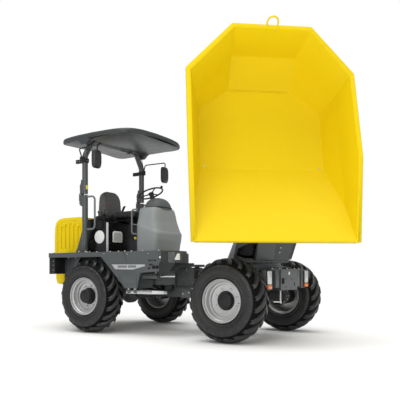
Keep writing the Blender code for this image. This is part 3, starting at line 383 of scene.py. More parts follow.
specialFinishes = {
    "tyreRubber": tyreRubber, "seatVinyl": seatVinyl, "greyVinyl": greyVinyl, "treadAluminium": treadAluminium,
    "deckPaint": deckPaint, "clearLens": clearLens, "grilleMesh": grilleMesh, "bellowsRubber": bellowsRubber,
}


# ---- mesh helpers
def roundEdges(bm, width, segments=2, angle=28):
    if width <= 0:
        return bm
    sharp = [edge for edge in bm.edges
             if len(edge.link_faces) == 2 and edge.calc_face_angle() > math.radians(angle)]
    bmesh.ops.bevel(bm, geom=sharp, offset=width, segments=segments, profile=0.5, material=-1,
                    affect="EDGES", clamp_overlap=True)
    return bm


def block(low, high, edge=0.004, segments=2):
    bm = bmesh.new()
    bmesh.ops.create_cube(bm, size=1.0)
    low, high = Vector(low), Vector(high)
    bmesh.ops.scale(bm, verts=bm.verts, vec=high - low)
    bmesh.ops.translate(bm, verts=bm.verts, vec=(high + low) / 2)
    return roundEdges(bm, edge, segments)


def plate(outline, axis, low, high, edge=0.003, segments=2):
    # An outline drawn across one axis and extruded along it.
    place = {"X": lambda u, v: (low, u, v), "Y": lambda u, v: (u, low, v), "Z": lambda u, v: (u, v, low)}[axis]
    along = {"X": (1, 0, 0), "Y": (0, 1, 0), "Z": (0, 0, 1)}[axis]
    bm = bmesh.new()
    corners = [bm.verts.new(place(u, v)) for u, v in outline]
    edges = [bm.edges.new(pair) for pair in zip(corners, corners[1:] + corners[:1])]
    bmesh.ops.edgeloop_fill(bm, edges=edges)
    grown = bmesh.ops.extrude_face_region(bm, geom=bm.faces[:])
    far = [item for item in grown["geom"] if isinstance(item, bmesh.types.BMVert)]
    bmesh.ops.translate(bm, verts=far, vec=Vector(along) * (high - low))
    bmesh.ops.recalc_face_normals(bm, faces=bm.faces)
    return roundEdges(bm, edge, segments)


def placed(bm, matrix):
    bmesh.ops.transform(bm, matrix=matrix, verts=bm.verts)
    return bm


def turnTo(bm, axis):
    turn = Vector(axis).to_track_quat("Z", "Y").to_matrix()
    bmesh.ops.rotate(bm, verts=bm.verts, cent=(0, 0, 0), matrix=turn)
    return bm


def moveBy(bm, offset):
    bmesh.ops.translate(bm, verts=bm.verts, vec=offset)
    return bm


def lathe(profile, centre, axis, steps=32):
    # A profile of (radius, along) points spun about an axis through the centre.
    bm = bmesh.new()
    verts = [bm.verts.new((radius, 0, along)) for radius, along in profile]
    edges = [bm.edges.new(pair) for pair in zip(verts, verts[1:])]
    if profile[0][0] > 0 or profile[-1][0] > 0:
        edges.append(bm.edges.new((verts[-1], verts[0])))
    bmesh.ops.spin(bm, geom=verts + edges, cent=(0, 0, 0), axis=(0, 0, 1), angle=math.tau, steps=steps,
                   use_merge=True)
    bmesh.ops.remove_doubles(bm, verts=bm.verts, dist=0.00001)
    bmesh.ops.recalc_face_normals(bm, faces=bm.faces)
    return moveBy(turnTo(bm, axis), centre)


def rod(start, end, radius, sides=16, edge=0.002, endRadius=None):
    start, end = Vector(start), Vector(end)
    run = end - start
    bm = bmesh.new()
    bmesh.ops.create_cone(bm, cap_ends=True, segments=sides, radius1=radius,
                          radius2=radius if endRadius is None else endRadius, depth=run.length)
    caps = [edge_ for edge_ in bm.edges if edge_.calc_face_angle(0) > math.radians(50)]
    if edge > 0:
        bmesh.ops.bevel(bm, geom=caps, offset=edge, segments=2, profile=0.5, material=-1, affect="EDGES",
                        clamp_overlap=True)
    return moveBy(turnTo(bm, run), (start + end) / 2)


def bentPath(points, radius, steps=6):
    points = [Vector(point) for point in points]
    path = [points[0]]
    for before, corner, after in zip(points, points[1:], points[2:]):
        toBefore, toAfter = (before - corner).normalized(), (after - corner).normalized()
        half = toBefore.angle(toAfter) / 2
        if half > math.radians(88):
            path.append(corner)
            continue
        reach = min(radius / math.tan(half), 0.45 * (before - corner).length, 0.45 * (after - corner).length)
        arcRadius = reach * math.tan(half)
        centre = corner + (toBefore + toAfter).normalized() * arcRadius / math.sin(half)
        first = (corner + toBefore * reach - centre).normalized()
        last = (corner + toAfter * reach - centre).normalized()
        path += [centre + first.slerp(last, step / steps) * arcRadius for step in range(steps + 1)]
    path.append(points[-1])
    return path


def pipe(points, radius, bend=0.03, sides=4, close=False):
    # A round tube along a path whose corners are arcs.
    path = bentPath(points, bend) if bend > 0 else [Vector(point) for point in points]
    curve = bpy.data.curves.new("pipe", "CURVE")
    curve.dimensions = "3D"
    curve.bevel_depth = radius
    curve.bevel_resolution = sides
    curve.use_fill_caps = not close
    spline = curve.splines.new("POLY")
    spline.points.add(len(path) - 1)
    for point, place in zip(spline.points, path):
        point.co = (*place, 1.0)
    spline.use_cyclic_u = close
    drawn = bpy.data.objects.new("pipe", curve)
    bpy.context.scene.collection.objects.link(drawn)
    graph = bpy.context.evaluated_depsgraph_get()
    mesh = bpy.data.meshes.new_from_object(drawn.evaluated_get(graph))
    bpy.data.objects.remove(drawn, do_unlink=True)
    bm = bmesh.new()
    bm.from_mesh(mesh)
    bpy.data.meshes.remove(mesh)
    bmesh.ops.remove_doubles(bm, verts=bm.verts, dist=0.00001)
    bmesh.ops.recalc_face_normals(bm, faces=bm.faces)
    return bm


def join(*parts):
    whole = bmesh.new()
    for bm in parts:
        mesh = bpy.data.meshes.new("part")
        bm.to_mesh(mesh)
        bm.free()
        whole.from_mesh(mesh)
        bpy.data.meshes.remove(mesh)
    return whole


def copyOf(bm, matrix=None):
    twin = bm.copy()
    if matrix:
        placed(twin, matrix)
    return twin


def mirrored(bm):
    # The same part on the other side of the middle plane.
    twin = bm.copy()
    bmesh.ops.scale(twin, verts=twin.verts, vec=(1, -1, 1))
    bmesh.ops.reverse_faces(twin, faces=twin.faces)
    return twin


def hexBolt(place, axis, across=0.02, height=0.01):
    washer = rod((0, 0, 0), (0, 0, height * 0.25), across * 0.72, 14, 0)
    head = bmesh.new()
    bmesh.ops.create_cone(head, cap_ends=True, segments=6, radius1=across * 0.56, radius2=across * 0.56,
                          depth=height)
    top = [edge for edge in head.edges if all(vert.co.z > 0 for vert in edge.verts)]
    bmesh.ops.bevel(head, geom=top, offset=across * 0.08, segments=1, profile=0.5, material=-1, affect="EDGES")
    moveBy(head, (0, 0, height * 0.72))
    return moveBy(turnTo(join(washer, head), axis), place)


def boltRow(places, axis, across=0.02, height=0.01):
    return join(*[hexBolt(place, axis, across, height) for place in places])


def cutBy(bm, *tools):
    # The solid less the tools, cut exactly.
    names = []
    for source in (bm, *tools):
        mesh = bpy.data.meshes.new("cut")
        source.to_mesh(mesh)
        source.free()
        thing = bpy.data.objects.new("cut", mesh)
        bpy.context.scene.collection.objects.link(thing)
        names.append(thing)
    for tool in names[1:]:
        step = names[0].modifiers.new("cut", "BOOLEAN")
        step.operation = "DIFFERENCE"
        step.object = tool
        step.solver = "EXACT"
    graph = bpy.context.evaluated_depsgraph_get()
    mesh = bpy.data.meshes.new_from_object(names[0].evaluated_get(graph))
    for thing in names:
        bpy.data.objects.remove(thing, do_unlink=True)
    cut = bmesh.new()
    cut.from_mesh(mesh)
    bmesh.ops.remove_doubles(cut, verts=cut.verts, dist=0.00002)
    bmesh.ops.dissolve_limit(cut, angle_limit=0.002, verts=cut.verts, edges=cut.edges)
    return cut


def nodeCopy(node):
    # A CAD node's own shape, merged and with flat faces whole again, in world places.
    bm = bmesh.new()
    bm.from_mesh(frame["nodes"][node].data)
    bmesh.ops.remove_doubles(bm, verts=bm.verts, dist=0.00005)
    bmesh.ops.dissolve_limit(bm, angle_limit=0.003, verts=bm.verts, edges=bm.edges)
    return bm


def addPiece(name, parts, body, slot, stands=(), place=machine, angle=32, bevel=0.0):
    whole = bmesh.new()
    names = []
    for bm, finishName in parts:
        if finishName not in names:
            names.append(finishName)
        for face in bm.faces:
            face.material_index = names.index(finishName)
        mesh = bpy.data.meshes.new("part")
        bm.to_mesh(mesh)
        bm.free()
        whole.from_mesh(mesh)
        bpy.data.meshes.remove(mesh)
    if place:
        placed(whole, place)
    mesh = bpy.data.meshes.new(name)
    whole.to_mesh(mesh)
    whole.free()
    for finishName in names:
        mesh.materials.append(finish(finishName))
    mesh.shade_smooth()
    mesh.set_sharp_from_angle(angle=math.radians(angle))
    piece = bpy.data.objects.new(name, mesh)
    bpy.context.scene.collection.objects.link(piece)
    if bevel:
        soft = piece.modifiers.new("softEdges", "BEVEL")
        soft.width = bevel
        soft.segments = 2
        soft.limit_method = "ANGLE"
        soft.angle_limit = math.radians(32)
        soft.harden_normals = True
    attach(piece, body)
    if stands:
        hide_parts(*stands)
    return piece


def bothSides(name, make, body, slot, stands="", **options):
    # The right-hand piece as drawn and its mirror image on the left.
    for side in ("right", "left"):
        parts = make()
        if side == "left":
            parts = [(mirrored(bm), finishName) for bm, finishName in parts]
        addPiece(name + side.capitalize(), parts, body, slot, (stands + side,) if stands else (), **options)


# ---- wheels, drawn as the right-hand ones: outside towards -Y, axle along Y
tyreSizes = {"radius": 0.5375, "halfWidth": 0.2, "lugs": 20, "lugHeight": 0.0415,
             "lugWidth": 0.064, "lugSweep": 0.175}
carcassProfile = [
    (0.277, -0.158), (0.291, -0.172), (0.3, -0.186), (0.316, -0.19), (0.326, -0.184), (0.334, -0.19),
    (0.366, -0.196), (0.396, -0.197), (0.424, -0.192), (0.446, -0.18), (0.462, -0.163), (0.476, -0.136),
    (0.487, -0.098), (0.494, -0.05), (0.496, 0.0)]


def lugAcross(distance):
    # Place (radius, along) on the carcass at a distance from its crown towards the outside.
    points = [(0.495, 0.03), *reversed(carcassProfile)]
    gone = -0.03
    for (radiusA, alongA), (radiusB, alongB) in zip(points, points[1:]):
        step = math.hypot(radiusB - radiusA, alongB - alongA)
        if gone + step >= distance or (radiusB, alongB) == points[-1]:
            share = max(0.0, (distance - gone) / step)
            normal = Vector((alongA - alongB, radiusB - radiusA)) / step
            return (radiusA + (radiusB - radiusA) * share, alongA + (alongB - alongA) * share, normal)
        gone += step


def oneLug():
    # A bar lug drawn flat, raised and rounded, then wrapped over the shoulder.
    sizes = tyreSizes
    rows = 12
    lug = bmesh.new()
    bmesh.ops.create_grid(lug, x_segments=3, y_segments=rows, size=0.5)
    reach = (-0.004, 0.246)
    for vert in lug.verts:
        share = vert.co.y + 0.5
        across = reach[0] + (reach[1] - reach[0]) * share
        sweep = sizes["lugSweep"] * math.sin(min(1.0, share / 0.8) * math.pi / 2) ** 1.15
        width = sizes["lugWidth"] * (1.1 - 0.32 * share) + (0.012 if share < 0.16 else 0.0)
        step = 0.02 if share < 0.3 and vert.co.x > 0 else 0.0
        vert.co = (sweep + vert.co.x * width + step, across, 0)
    grown = bmesh.ops.extrude_face_region(lug, geom=lug.faces[:])
    top = [item for item in grown["geom"] if isinstance(item, bmesh.types.BMVert)]
    for vert in top:
        share = (vert.co.y - reach[0]) / (reach[1] - reach[0])
        middle = sum(v.co.x for v in top if abs(v.co.y - vert.co.y) < 0.0001) / 4
        vert.co.x = middle + (vert.co.x - middle) * 0.84
        vert.co.z = sizes["lugHeight"] * (1.0 if share < 0.82 else 1.0 - 0.82 * ((share - 0.82) / 0.18) ** 1.5)
    bmesh.ops.recalc_face_normals(lug, faces=lug.faces)
    roundEdges(lug, 0.0035, 1, 38)
    for vert in lug.verts:
        radius, along, normal = lugAcross(vert.co.y)
        lift = vert.co.z - (0.006 if vert.co.z < 0.001 else 0.0)
        radius = min(radius + normal.x * lift, sizes["radius"])
        along = max(along - normal.y * lift, -sizes["halfWidth"])
        turn = vert.co.x / sizes["radius"]
        vert.co = (radius * math.sin(turn), along, radius * math.cos(turn))
    bmesh.ops.recalc_face_normals(lug, faces=lug.faces)
    return lug


def makeTyre():
    sizes = tyreSizes
    whole = carcassProfile + [(radius, -along) for radius, along in reversed(carcassProfile[:-1])]
    parts = [lathe(whole, (0, 0, 0), (0, 1, 0), 96)]
    pitch = math.tau / sizes["lugs"]
    lugs = []
    lug = oneLug()
    other = mirrored(lug)
    for count in range(sizes["lugs"]):
        turn = Matrix.Rotation(pitch * count, 4, "Y")
        lugs.append(copyOf(lug, turn))
        lugs.append(copyOf(other, Matrix.Rotation(pitch * (count + 0.5), 4, "Y")))
    # fine rings moulded into the side walls
    for side in (-1, 1):
        for radius, along in ((0.346, 0.1925), (0.404, 0.1955)):
            ring = [(radius - 0.003, side * (along - 0.002)), (radius, side * (along + 0.0012)),
                    (radius + 0.003, side * (along - 0.002))]
            parts.append(lathe(ring, (0, 0, 0), (0, 1, 0), 72))
    # the tread's ground between the lugs, a thin skin on the carcass, coloured near black as painted shade between the
    # lugs
    ground = [(radius + 0.0012, along) for radius, along in whole if radius >= 0.446]
    # the lugs are coloured lighter than the carcass, for wear on their tops and as painted highlight
    return [(join(*parts), "tyreRubber"), (join(*lugs), "lugRubber"),
            (lathe(ground, (0, 0, 0), (0, 1, 0), 96), "grooveRubber")]


rimSizes = {"bolts": 8, "boltCircle": 0.155, "rearHubFace": -0.158, "frontHubFace": -0.104}


def makeRim(end):
    sizes = rimSizes
    outer = [
        (0.2765, -0.15), (0.2785, -0.166), (0.2735, -0.178), (0.265, -0.18), (0.26, -0.172), (0.2555, -0.15),
        (0.244, -0.142), (0.2375, -0.124), (0.2365, -0.098), (0.23, -0.088), (0.213, -0.086), (0.207, -0.074),
        (0.205, -0.06), (0.19, -0.055), (0.125, -0.055), (0.125, -0.043), (0.195, -0.043), (0.214, -0.05),
        (0.22, -0.07), (0.242, -0.078), (0.246, -0.1), (0.247, 0.14), (0.26, 0.15), (0.265, 0.168),
        (0.273, 0.17), (0.2785, 0.16), (0.2765, 0.15)]
    rim = lathe(outer, (0, 0, 0), (0, 1, 0), 72)
    face = sizes[end + "HubFace"]
    hub = lathe([(0.0, face), (0.086, face), (0.094, face + 0.004), (0.0985, face + 0.012), (0.103, face + 0.03),
                 (0.106, -0.058), (0.124, -0.057), (0.124, 0.045), (0.075, 0.06), (0.0, 0.06)],
                (0, 0, 0), (0, 1, 0), 48)
    cap = lathe([(0.0, face - 0.008), (0.022, face - 0.008), (0.03, face - 0.003), (0.034, face + 0.002),
                 (0.0, face + 0.002)], (0, 0, 0), (0, 1, 0), 28)
    hubBolts = []
    for count in range(8):
        angle = math.tau * count / 8 + 0.2
        hubBolts.append(hexBolt((0.068 * math.sin(angle), face + 0.001, 0.068 * math.cos(angle)), (0, -1, 0),
                                0.013, 0.007))
    nuts = []
    for count in range(sizes["bolts"]):
        angle = math.tau * (count + 0.25) / sizes["bolts"]
        place = Vector((sizes["boltCircle"] * math.sin(angle), -0.055, sizes["boltCircle"] * math.cos(angle)))
        nuts.append(hexBolt(place, (0, -1, 0), 0.026, 0.018))
        nuts.append(rod(place + Vector((0, -0.01, 0)), place + Vector((0, -0.028, 0)), 0.007, 10, 0.001))
    valve = pipe([(0.198, -0.054, 0.02), (0.2, -0.09, 0.02), (0.206, -0.104, 0.02)], 0.005, 0.01, 2)
    return [(rim, "rimSilver"), (join(hub, cap, *hubBolts), "blackPlastic"), (join(*nuts), "zinc"),
            (valve, "rubberHose")]


wheelPlaces = {name: Vector(jointPlace["wheel_" + name + "_roll"]["pos_m"])
               for name in ("rear_right", "rear_left", "front_right", "front_left")}
for name, centre in wheelPlaces.items():
    phase = Matrix.Rotation(math.radians({"rear": 4, "front": 13}[name[:name.index("_")]]), 4, "Y")
    place = Matrix.Translation(centre) @ phase
    tyreParts = makeTyre()
    rimParts = makeRim(name.split("_")[0])
    if name.endswith("left"):
        tyreParts = [(mirrored(bm), finishName) for bm, finishName in tyreParts]
        rimParts = [(mirrored(bm), finishName) for bm, finishName in rimParts]
    title = name.replace("_r", "R").replace("_l", "L")
    title = title[0].upper() + title[1:]
    addPiece("tyre" + title, tyreParts, "wheel_" + name, "tyre", ("tyre_" + name,), place, 40)
    addPiece("rim" + title, rimParts, "wheel_" + name, "rim", ("rim_" + name,), place, 40)
print("wheels made")


# ---- skip, drawn lowered from its tipping pin: x forward, z up
skipSizes = {"floorFront": (-0.7398, -0.2633), "flangeDrop": 0.046, "sheet": 0.008, "fold": 0.022}
skipPoints = {
    "rearFloor": (-1.137, 0.413, 0.0), "cornerFloor": (-0.827, 0.825, 0.0), "frontFloor": (0.0, 0.82, 0.0),
    "rearBend": (-1.397, 0.423, 0.394), "cornerBend": (-0.87, 0.912, 0.38), "apronBend": (0.625, 0.954, 0.3016),
    "rearRim": (-1.503, 0.488, 0.88), "cornerRim": (-0.987, 1.042, 0.726), "midRim": (0.129, 1.042, 0.747),
    "lip": (1.115, 1.009, 0.538)}
skipPanels = [
    ("rearFloor", "cornerFloor", "cornerBend", "rearBend"), ("rearBend", "cornerBend", "cornerRim", "rearRim"),
    ("cornerFloor", "frontFloor", "apronBend", "cornerBend"),
    ("cornerBend", "apronBend", "lip", "midRim", "cornerRim")]
skipMiddlePanels = [
    ("rearFloor", "cornerFloor", "frontFloor"), ("frontFloor", "apronBend", "lip"),
    ("rearFloor", "rearBend"), ("rearBend", "rearRim")]
# how far inside the rim's outer edge the wall meets it
rimInset = {"rearRim": (0.05, -0.022), "cornerRim": (0.03, -0.052), "midRim": (0.0, -0.052), "lip": (0.0, -0.05)}


def makeSkipSheet():
    sizes = skipSizes
    originX, originZ = sizes["floorFront"]
    bm = bmesh.new()
    corners = {}
    for label, (x, y, z) in skipPoints.items():
        insetX, insetY = rimInset.get(label, (0.0, 0.0))
        for side in (-1, 1):
            place = (originX + x + insetX, side * (y + insetY), originZ + z)
            corners[label, side] = bm.verts.new(place)
    for side in (-1, 1):
        for panel in skipPanels:
            bmesh.ops.contextual_create(bm, geom=[corners[label, side] for label in panel])
    for panel in skipMiddlePanels:
        ring = [corners[label, -1] for label in panel] + [corners[label, 1] for label in reversed(panel)]
        bmesh.ops.contextual_create(bm, geom=ring)
    bmesh.ops.recalc_face_normals(bm, faces=bm.faces)
    # the rim's flange: out to the outer edge and folded down
    rimLabels = ("rearRim", "cornerRim", "midRim", "lip")
    rimVerts = {corners[label, side] for label in rimLabels for side in (-1, 1)}
    rimEdges = [edge for edge in bm.edges if edge.is_boundary and set(edge.verts) <= rimVerts
                and not set(edge.verts) == {corners["lip", -1], corners["lip", 1]}]
    grown = bmesh.ops.extrude_edge_only(bm, edges=rimEdges)
    outerVerts = [item for item in grown["geom"] if isinstance(item, bmesh.types.BMVert)]
    for vert in outerVerts:
        label, side = min(((label, side) for label in rimLabels for side in (-1, 1)),
                          key=lambda pair: (corners[pair].co - vert.co).length)
        insetX, insetY = rimInset[label]
        vert.co += Vector((-insetX, -side * insetY, 0.002))
    outerEdges = [edge for edge in bm.edges if edge.is_boundary and set(edge.verts) <= set(outerVerts)]
    grown = bmesh.ops.extrude_edge_only(bm, edges=outerEdges)
    lowVerts = [item for item in grown["geom"] if isinstance(item, bmesh.types.BMVert)]
    bmesh.ops.translate(bm, verts=lowVerts, vec=(0, 0, -sizes["flangeDrop"]))
    # the pouring edge: a short strip folded under
    lipEdge = [edge for edge in bm.edges if set(edge.verts) == {corners["lip", -1], corners["lip", 1]}]
    grown = bmesh.ops.extrude_edge_only(bm, edges=lipEdge)
    under = [item for item in grown["geom"] if isinstance(item, bmesh.types.BMVert)]
    bmesh.ops.translate(bm, verts=under, vec=(0.004, 0, -0.052))
    folds = [edge for edge in bm.edges if len(edge.link_faces) == 2 and edge.calc_face_angle() > math.radians(8)]
    bmesh.ops.bevel(bm, geom=folds, offset=sizes["fold"] * 0.5, segments=3, profile=0.5, material=-1,
                    affect="EDGES", clamp_overlap=True)
    bmesh.ops.triangulate(bm, faces=[face for face in bm.faces if len(face.verts) > 4])
    return bm


def makeSkip():
    sizes = skipSizes
    originX, originZ = sizes["floorFront"]
    slope = 0.538 / 1.115

    def under(x):
        return originZ + (x - originX) * slope - 0.006

    lugs = []
    for y in (-0.44, 0.395):
        side = [(-0.2, under(-0.2)), (-0.06, -0.03), (-0.03, -0.045), (0.03, -0.045), (0.06, -0.02),
                (0.22, under(0.22))]
        hole = rod((0, y - 0.02, 0), (0, y + 0.07, 0), 0.0232, 24, 0)
        lugs.append(cutBy(plate(side, "Y", y, y + 0.045, 0), hole))
    for y in (-0.078, 0.056):
        lugs.append(plate([(-0.63, under(-0.63)), (-0.535, -0.32), (-0.465, -0.32), (-0.34, under(-0.34))],
                          "Y", y, y + 0.022, 0.002))
    # channels that stiffen the floor and the apron
    for x, width in ((-1.46, 0.4), (-1.1, 0.62)):
        lugs.append(block((x, -width, originZ - 0.04), (x + 0.09, width, originZ - 0.006), 0.006))
    for y in (-0.62, 0.56):
        rib = [(originX - 0.02, under(originX - 0.02) - 0.002), (originX + 0.02, under(originX + 0.02) - 0.05),
               (originX + 0.98, under(originX + 0.98) - 0.045), (originX + 1.04, under(originX + 1.04))]
        lugs.append(plate(rib, "Y", y, y + 0.06, 0.005))
    # the lifting eye on the rear rim
    rearX, rearZ = originX - 1.503, originZ + 0.88
    eye = pipe([(rearX + 0.045, -0.045, rearZ - 0.03), (rearX - 0.01, -0.07, rearZ + 0.028),
                (rearX - 0.04, -0.052, rearZ + 0.078), (rearX - 0.05, 0.0, rearZ + 0.092),
                (rearX - 0.04, 0.052, rearZ + 0.078), (rearX - 0.01, 0.07, rearZ + 0.028),
                (rearX + 0.045, 0.045, rearZ - 0.03)], 0.011, 0.045, 4)
    # small folded tabs that close the rim at the pouring corners
    tabs = []
    for side in (-1, 1):
        lipX, lipY, lipZ = skipPoints["lip"]
        place = (originX + lipX, side * (lipY - 0.03), originZ + lipZ)
        tab = block((place[0] - 0.075, place[1] - 0.026, place[2] - 0.058),
                    (place[0] + 0.004, place[1] + 0.026, place[2] - 0.004), 0.01, 3)
        tabs.append(tab)
        tabs.append(rod((place[0] - 0.004, place[1] - side * 0.024, place[2] - 0.075),
                        (place[0] - 0.004, place[1] - side * 0.024, place[2] - 0.045), 0.01, 12, 0.003))
    return join(*lugs, eye, *tabs)


sheet = addPiece("skipSheet", [(makeSkipSheet(), "yellowPaint")], "skip", "yellow_paint", ("skip",), skipPlace, 20)
wall = sheet.modifiers.new("sheet", "SOLIDIFY")
wall.thickness = skipSizes["sheet"]
wall.offset = 0.0
wall.use_even_offset = True
addPiece("skipFittings", [(makeSkip(), "yellowPaint")], "skip", "yellow_paint", (), skipPlace, 34)
weld = [join(
    pipe([(skipSizes["floorFront"][0] - 1.128, -0.395, skipSizes["floorFront"][1] + 0.01),
          (skipSizes["floorFront"][0] - 1.128, 0.395, skipSizes["floorFront"][1] + 0.01)], 0.0055, 0, 3)),
    "yellowPaint"]
addPiece("skipFloorWeld", [tuple(weld)], "skip", "yellow_paint", (), skipPlace, 40)
holes = []
for side in (-1, 1):
    spot = (skipSizes["floorFront"][0] - 0.035, side * 0.765, skipSizes["floorFront"][1] + 0.004)
    holes.append(rod(spot, (spot[0], spot[1], spot[2] + 0.003), 0.011, 16, 0.001))
addPiece("skipDrainPlugs", [(join(*holes), "zinc")], "skip", "yellow_paint", (), skipPlace, 40)
print("skip made")


# ---- turret, drawn looking forward from its slewing axis
turretSizes = {"floor": 1.07, "pin": (1.06, 1.56), "half": 0.38}


def makeTurret():
    sizes = turretSizes
    pinX, pinZ = sizes["pin"]
    ring = lathe([(0.0, 0.985), (0.4, 0.985), (0.4, 1.01), (0.392, 1.016), (0.35, 1.018), (0.345, 1.03),
                  (0.0, 1.03)], (0, 0, 0), (0, 0, 1), 72)
    boltPlaces = []
    for count in range(28):
        angle = math.tau * count / 28
        boltPlaces.append((0.374 * math.cos(angle), 0.374 * math.sin(angle), 1.016))
    ringBolts = boltRow(boltPlaces, (0, 0, 1), 0.019, 0.011)
    base = block((-0.24, -0.36, 1.02), (0.6, 0.36, sizes["floor"]), 0.008, 2)
    cheekSide = [(0.12, sizes["floor"] - 0.01), (0.606, sizes["floor"] - 0.01), (0.871, 1.279),
                 (pinX + 0.035, pinZ - 0.075), (pinX + 0.055, pinZ), (pinX + 0.035, pinZ + 0.045),
                 (pinX - 0.01, pinZ + 0.052), (pinX - 0.05, pinZ + 0.035), (0.62, 1.27)]
    cheeks = [plate(cheekSide, "Y", y, y + 0.03, 0.005, 3) for y in (-0.38, 0.35)]
    bosses = []
    for side in (-1, 1):
        bosses.append(lathe([(0.0, 0.0), (0.05, 0.0), (0.05, 0.012), (0.045, 0.017), (0.0, 0.017)],
                            (pinX, side * 0.38, pinZ), (0, side, 0), 32))
        bosses.append(rod((pinX, side * 0.36, pinZ), (pinX, side * 0.47, pinZ), 0.022, 24))
    lug = [(-0.195, sizes["floor"] - 0.01), (-0.045, sizes["floor"] - 0.01), (-0.075, 1.17), (-0.165, 1.17)]
    lift = [plate(lug, "Y", y, y + 0.022, 0.004) for y in (-0.075, 0.053)]
    lift.append(rod((-0.12, -0.085, 1.135), (-0.12, 0.085, 1.135), 0.022, 24))
    # front plate: a short upright strip, a crease, then the leaning field, with the window cut out
    leaning = plate([(0.6, 1.055), (0.624, 1.055), (0.668, 1.105), (pinX - 0.045, pinZ - 0.14),
                     (pinX - 0.066, pinZ - 0.132), (0.648, 1.116), (0.6, 1.064)], "Y", -0.372, 0.372, 0.0)
    window = plate([(-0.34, 1.108), (-0.365, 1.15), (-0.355, 1.196), (-0.118, 1.3), (-0.118, 1.075),
                    (-0.24, 1.075)], "X", 0.5, 1.2, 0.0)
    slot = block((0.4, -0.085, 1.345), (1.2, 0.085, 1.8), 0.0)
    front = cutBy(leaning, window, slot)
    # ram cover: a rounded box that stands proud of the plate
    cover = plate([(0.62, 1.04), (0.716, 1.04), (0.76, 1.062), (0.902, 1.302), (0.88, 1.32), (0.64, 1.11)],
                  "Y", -0.118, 0.118, 0.012, 4)
    # painted shade: a black sheet just behind the window, standing in for the shade inside the turret
    dark = plate([(0.575, 1.05), (0.6, 1.07), (0.85, 1.31), (0.82, 1.31), (0.56, 1.07)], "Y", -0.35, 0.0,
                 0.0)
    sides = []
    for side in (-1, 1):
        flange = plate([(0.56, 1.062), (0.64, 1.062), (0.905, 1.292), (0.985, 1.44), (0.955, 1.44),
                        (0.872, 1.3), (0.56, 1.09)], "Y", min(side * 0.384, side * 0.372),
                       max(side * 0.384, side * 0.372), 0.002)
        sides.append(flange)
    studs = boltRow([(0.77, 0.19, 1.15), (0.835, 0.19, 1.207)], (0.75, 0, -0.66), 0.016, 0.008)
    return [
        (join(base, *cheeks, *bosses, *lift, front, cover, *sides), "darkPaint"),
        (join(ring), "greyPaint"), (join(ringBolts, studs), "zinc"), (dark, "blackSheet")]


addPiece("turretFrame", makeTurret(), "turret", "dark_paint", ("turret",), turretPlace, 30)
sideStrip = []
for side in (-1, 1):
    low, high = sorted((side * 0.3802, side * 0.3832))
    sideStrip.append(plate([(0.13, 1.066), (0.596, 1.066), (0.862, 1.279), (1.02, 1.44), (0.985, 1.56),
                            (0.64, 1.28)], "Y", low, high, 0.0))
addPiece("turretSidePlates", [(join(*sideStrip), "greyPaint")], "turret", "dark_paint", (), turretPlace, 30)
hoses = []
for y in (-0.065, 0.065):
    hoses.append(pipe([(-0.02, y, 1.05), (0.02, y * 1.4, 1.16), (0.15, y * 2, 1.21), (0.3, y * 2.2, 1.19),
                       (0.42, y * 2.2, 1.1), (0.5, y * 2, 1.05)], 0.011, 0.06, 3))
addPiece("turretHoses", [(join(*hoses), "rubberHose")], "turret", "dark_paint", (), turretPlace, 40)
print("turret made")


# ---- platform, skirts and steps
deckSizes = {"top": 1.187, "half": 0.95, "rear": -2.164, "front": 0.153, "treadRise": 0.0028}


def worldCut(bm, *tools):
    # Cuts a world-placed copy with tools drawn in the machine's own places.
    for tool in tools:
        placed(tool, machine)
    return cutBy(bm, *tools)


def makeDeck():
    recess = plate([(-0.858, 1.01), (-0.786, 0.93), (-0.455, 0.925), (-0.232, 0.975), (-0.24, 1.006)],
                   "Y", -0.96, -0.925, 0)
    return worldCut(nodeCopy("deck"), recess)


addPiece("platform", [(makeDeck(), "darkPaint")], "rear_frame", "dark_paint", ("deck",), None, 30, 0.0035)


def makeTreadSheets():
    # The right side runs on to the front, the left side ends at its sloped edge.
    top = deckSizes["top"]
    right = [(-1.235, -0.02), (-1.235, -0.63), (-1.18, -0.93), (0.022, -0.93), (0.138, -0.718),
             (0.138, -0.515), (-0.455, -0.515), (-0.455, -0.315), (-0.735, -0.315), (-0.735, -0.02)]
    left = [(-1.235, 0.02), (-1.235, 0.63), (-1.18, 0.93), (-0.815, 0.93), (-0.455, 0.405),
            (-0.455, 0.315), (-0.735, 0.315), (-0.735, 0.02)]
    return join(*[plate(outline, "Z", top + 0.0002, top + deckSizes["treadRise"], 0) for outline in (right, left)])


addPiece("platformTread", [(makeTreadSheets(), "deckPaint")], "rear_frame", "dark_paint")


def makeStepSide():
    # upper step in the skirt's recess
    tread = plate([(-0.852, 1.004), (-0.784, 0.934), (-0.458, 0.929), (-0.24, 0.977), (-0.246, 1.0)], "Y",
                  -0.951, -0.936, 0.0)
    shelf = block((-0.84, -0.936, 0.992), (-0.25, -0.8, 1.003), 0.002)
    insets = [block((-0.735, -0.9525, 0.955), (-0.565, -0.95, 0.99), 0.001),
              block((-0.545, -0.9525, 0.955), (-0.4, -0.95, 0.99), 0.001)]
    return [(join(tread, shelf), "treadAluminium"), (join(*insets), "greyPaint")]


addPiece("upperStepRight", makeStepSide(), "rear_frame", "step_metal")


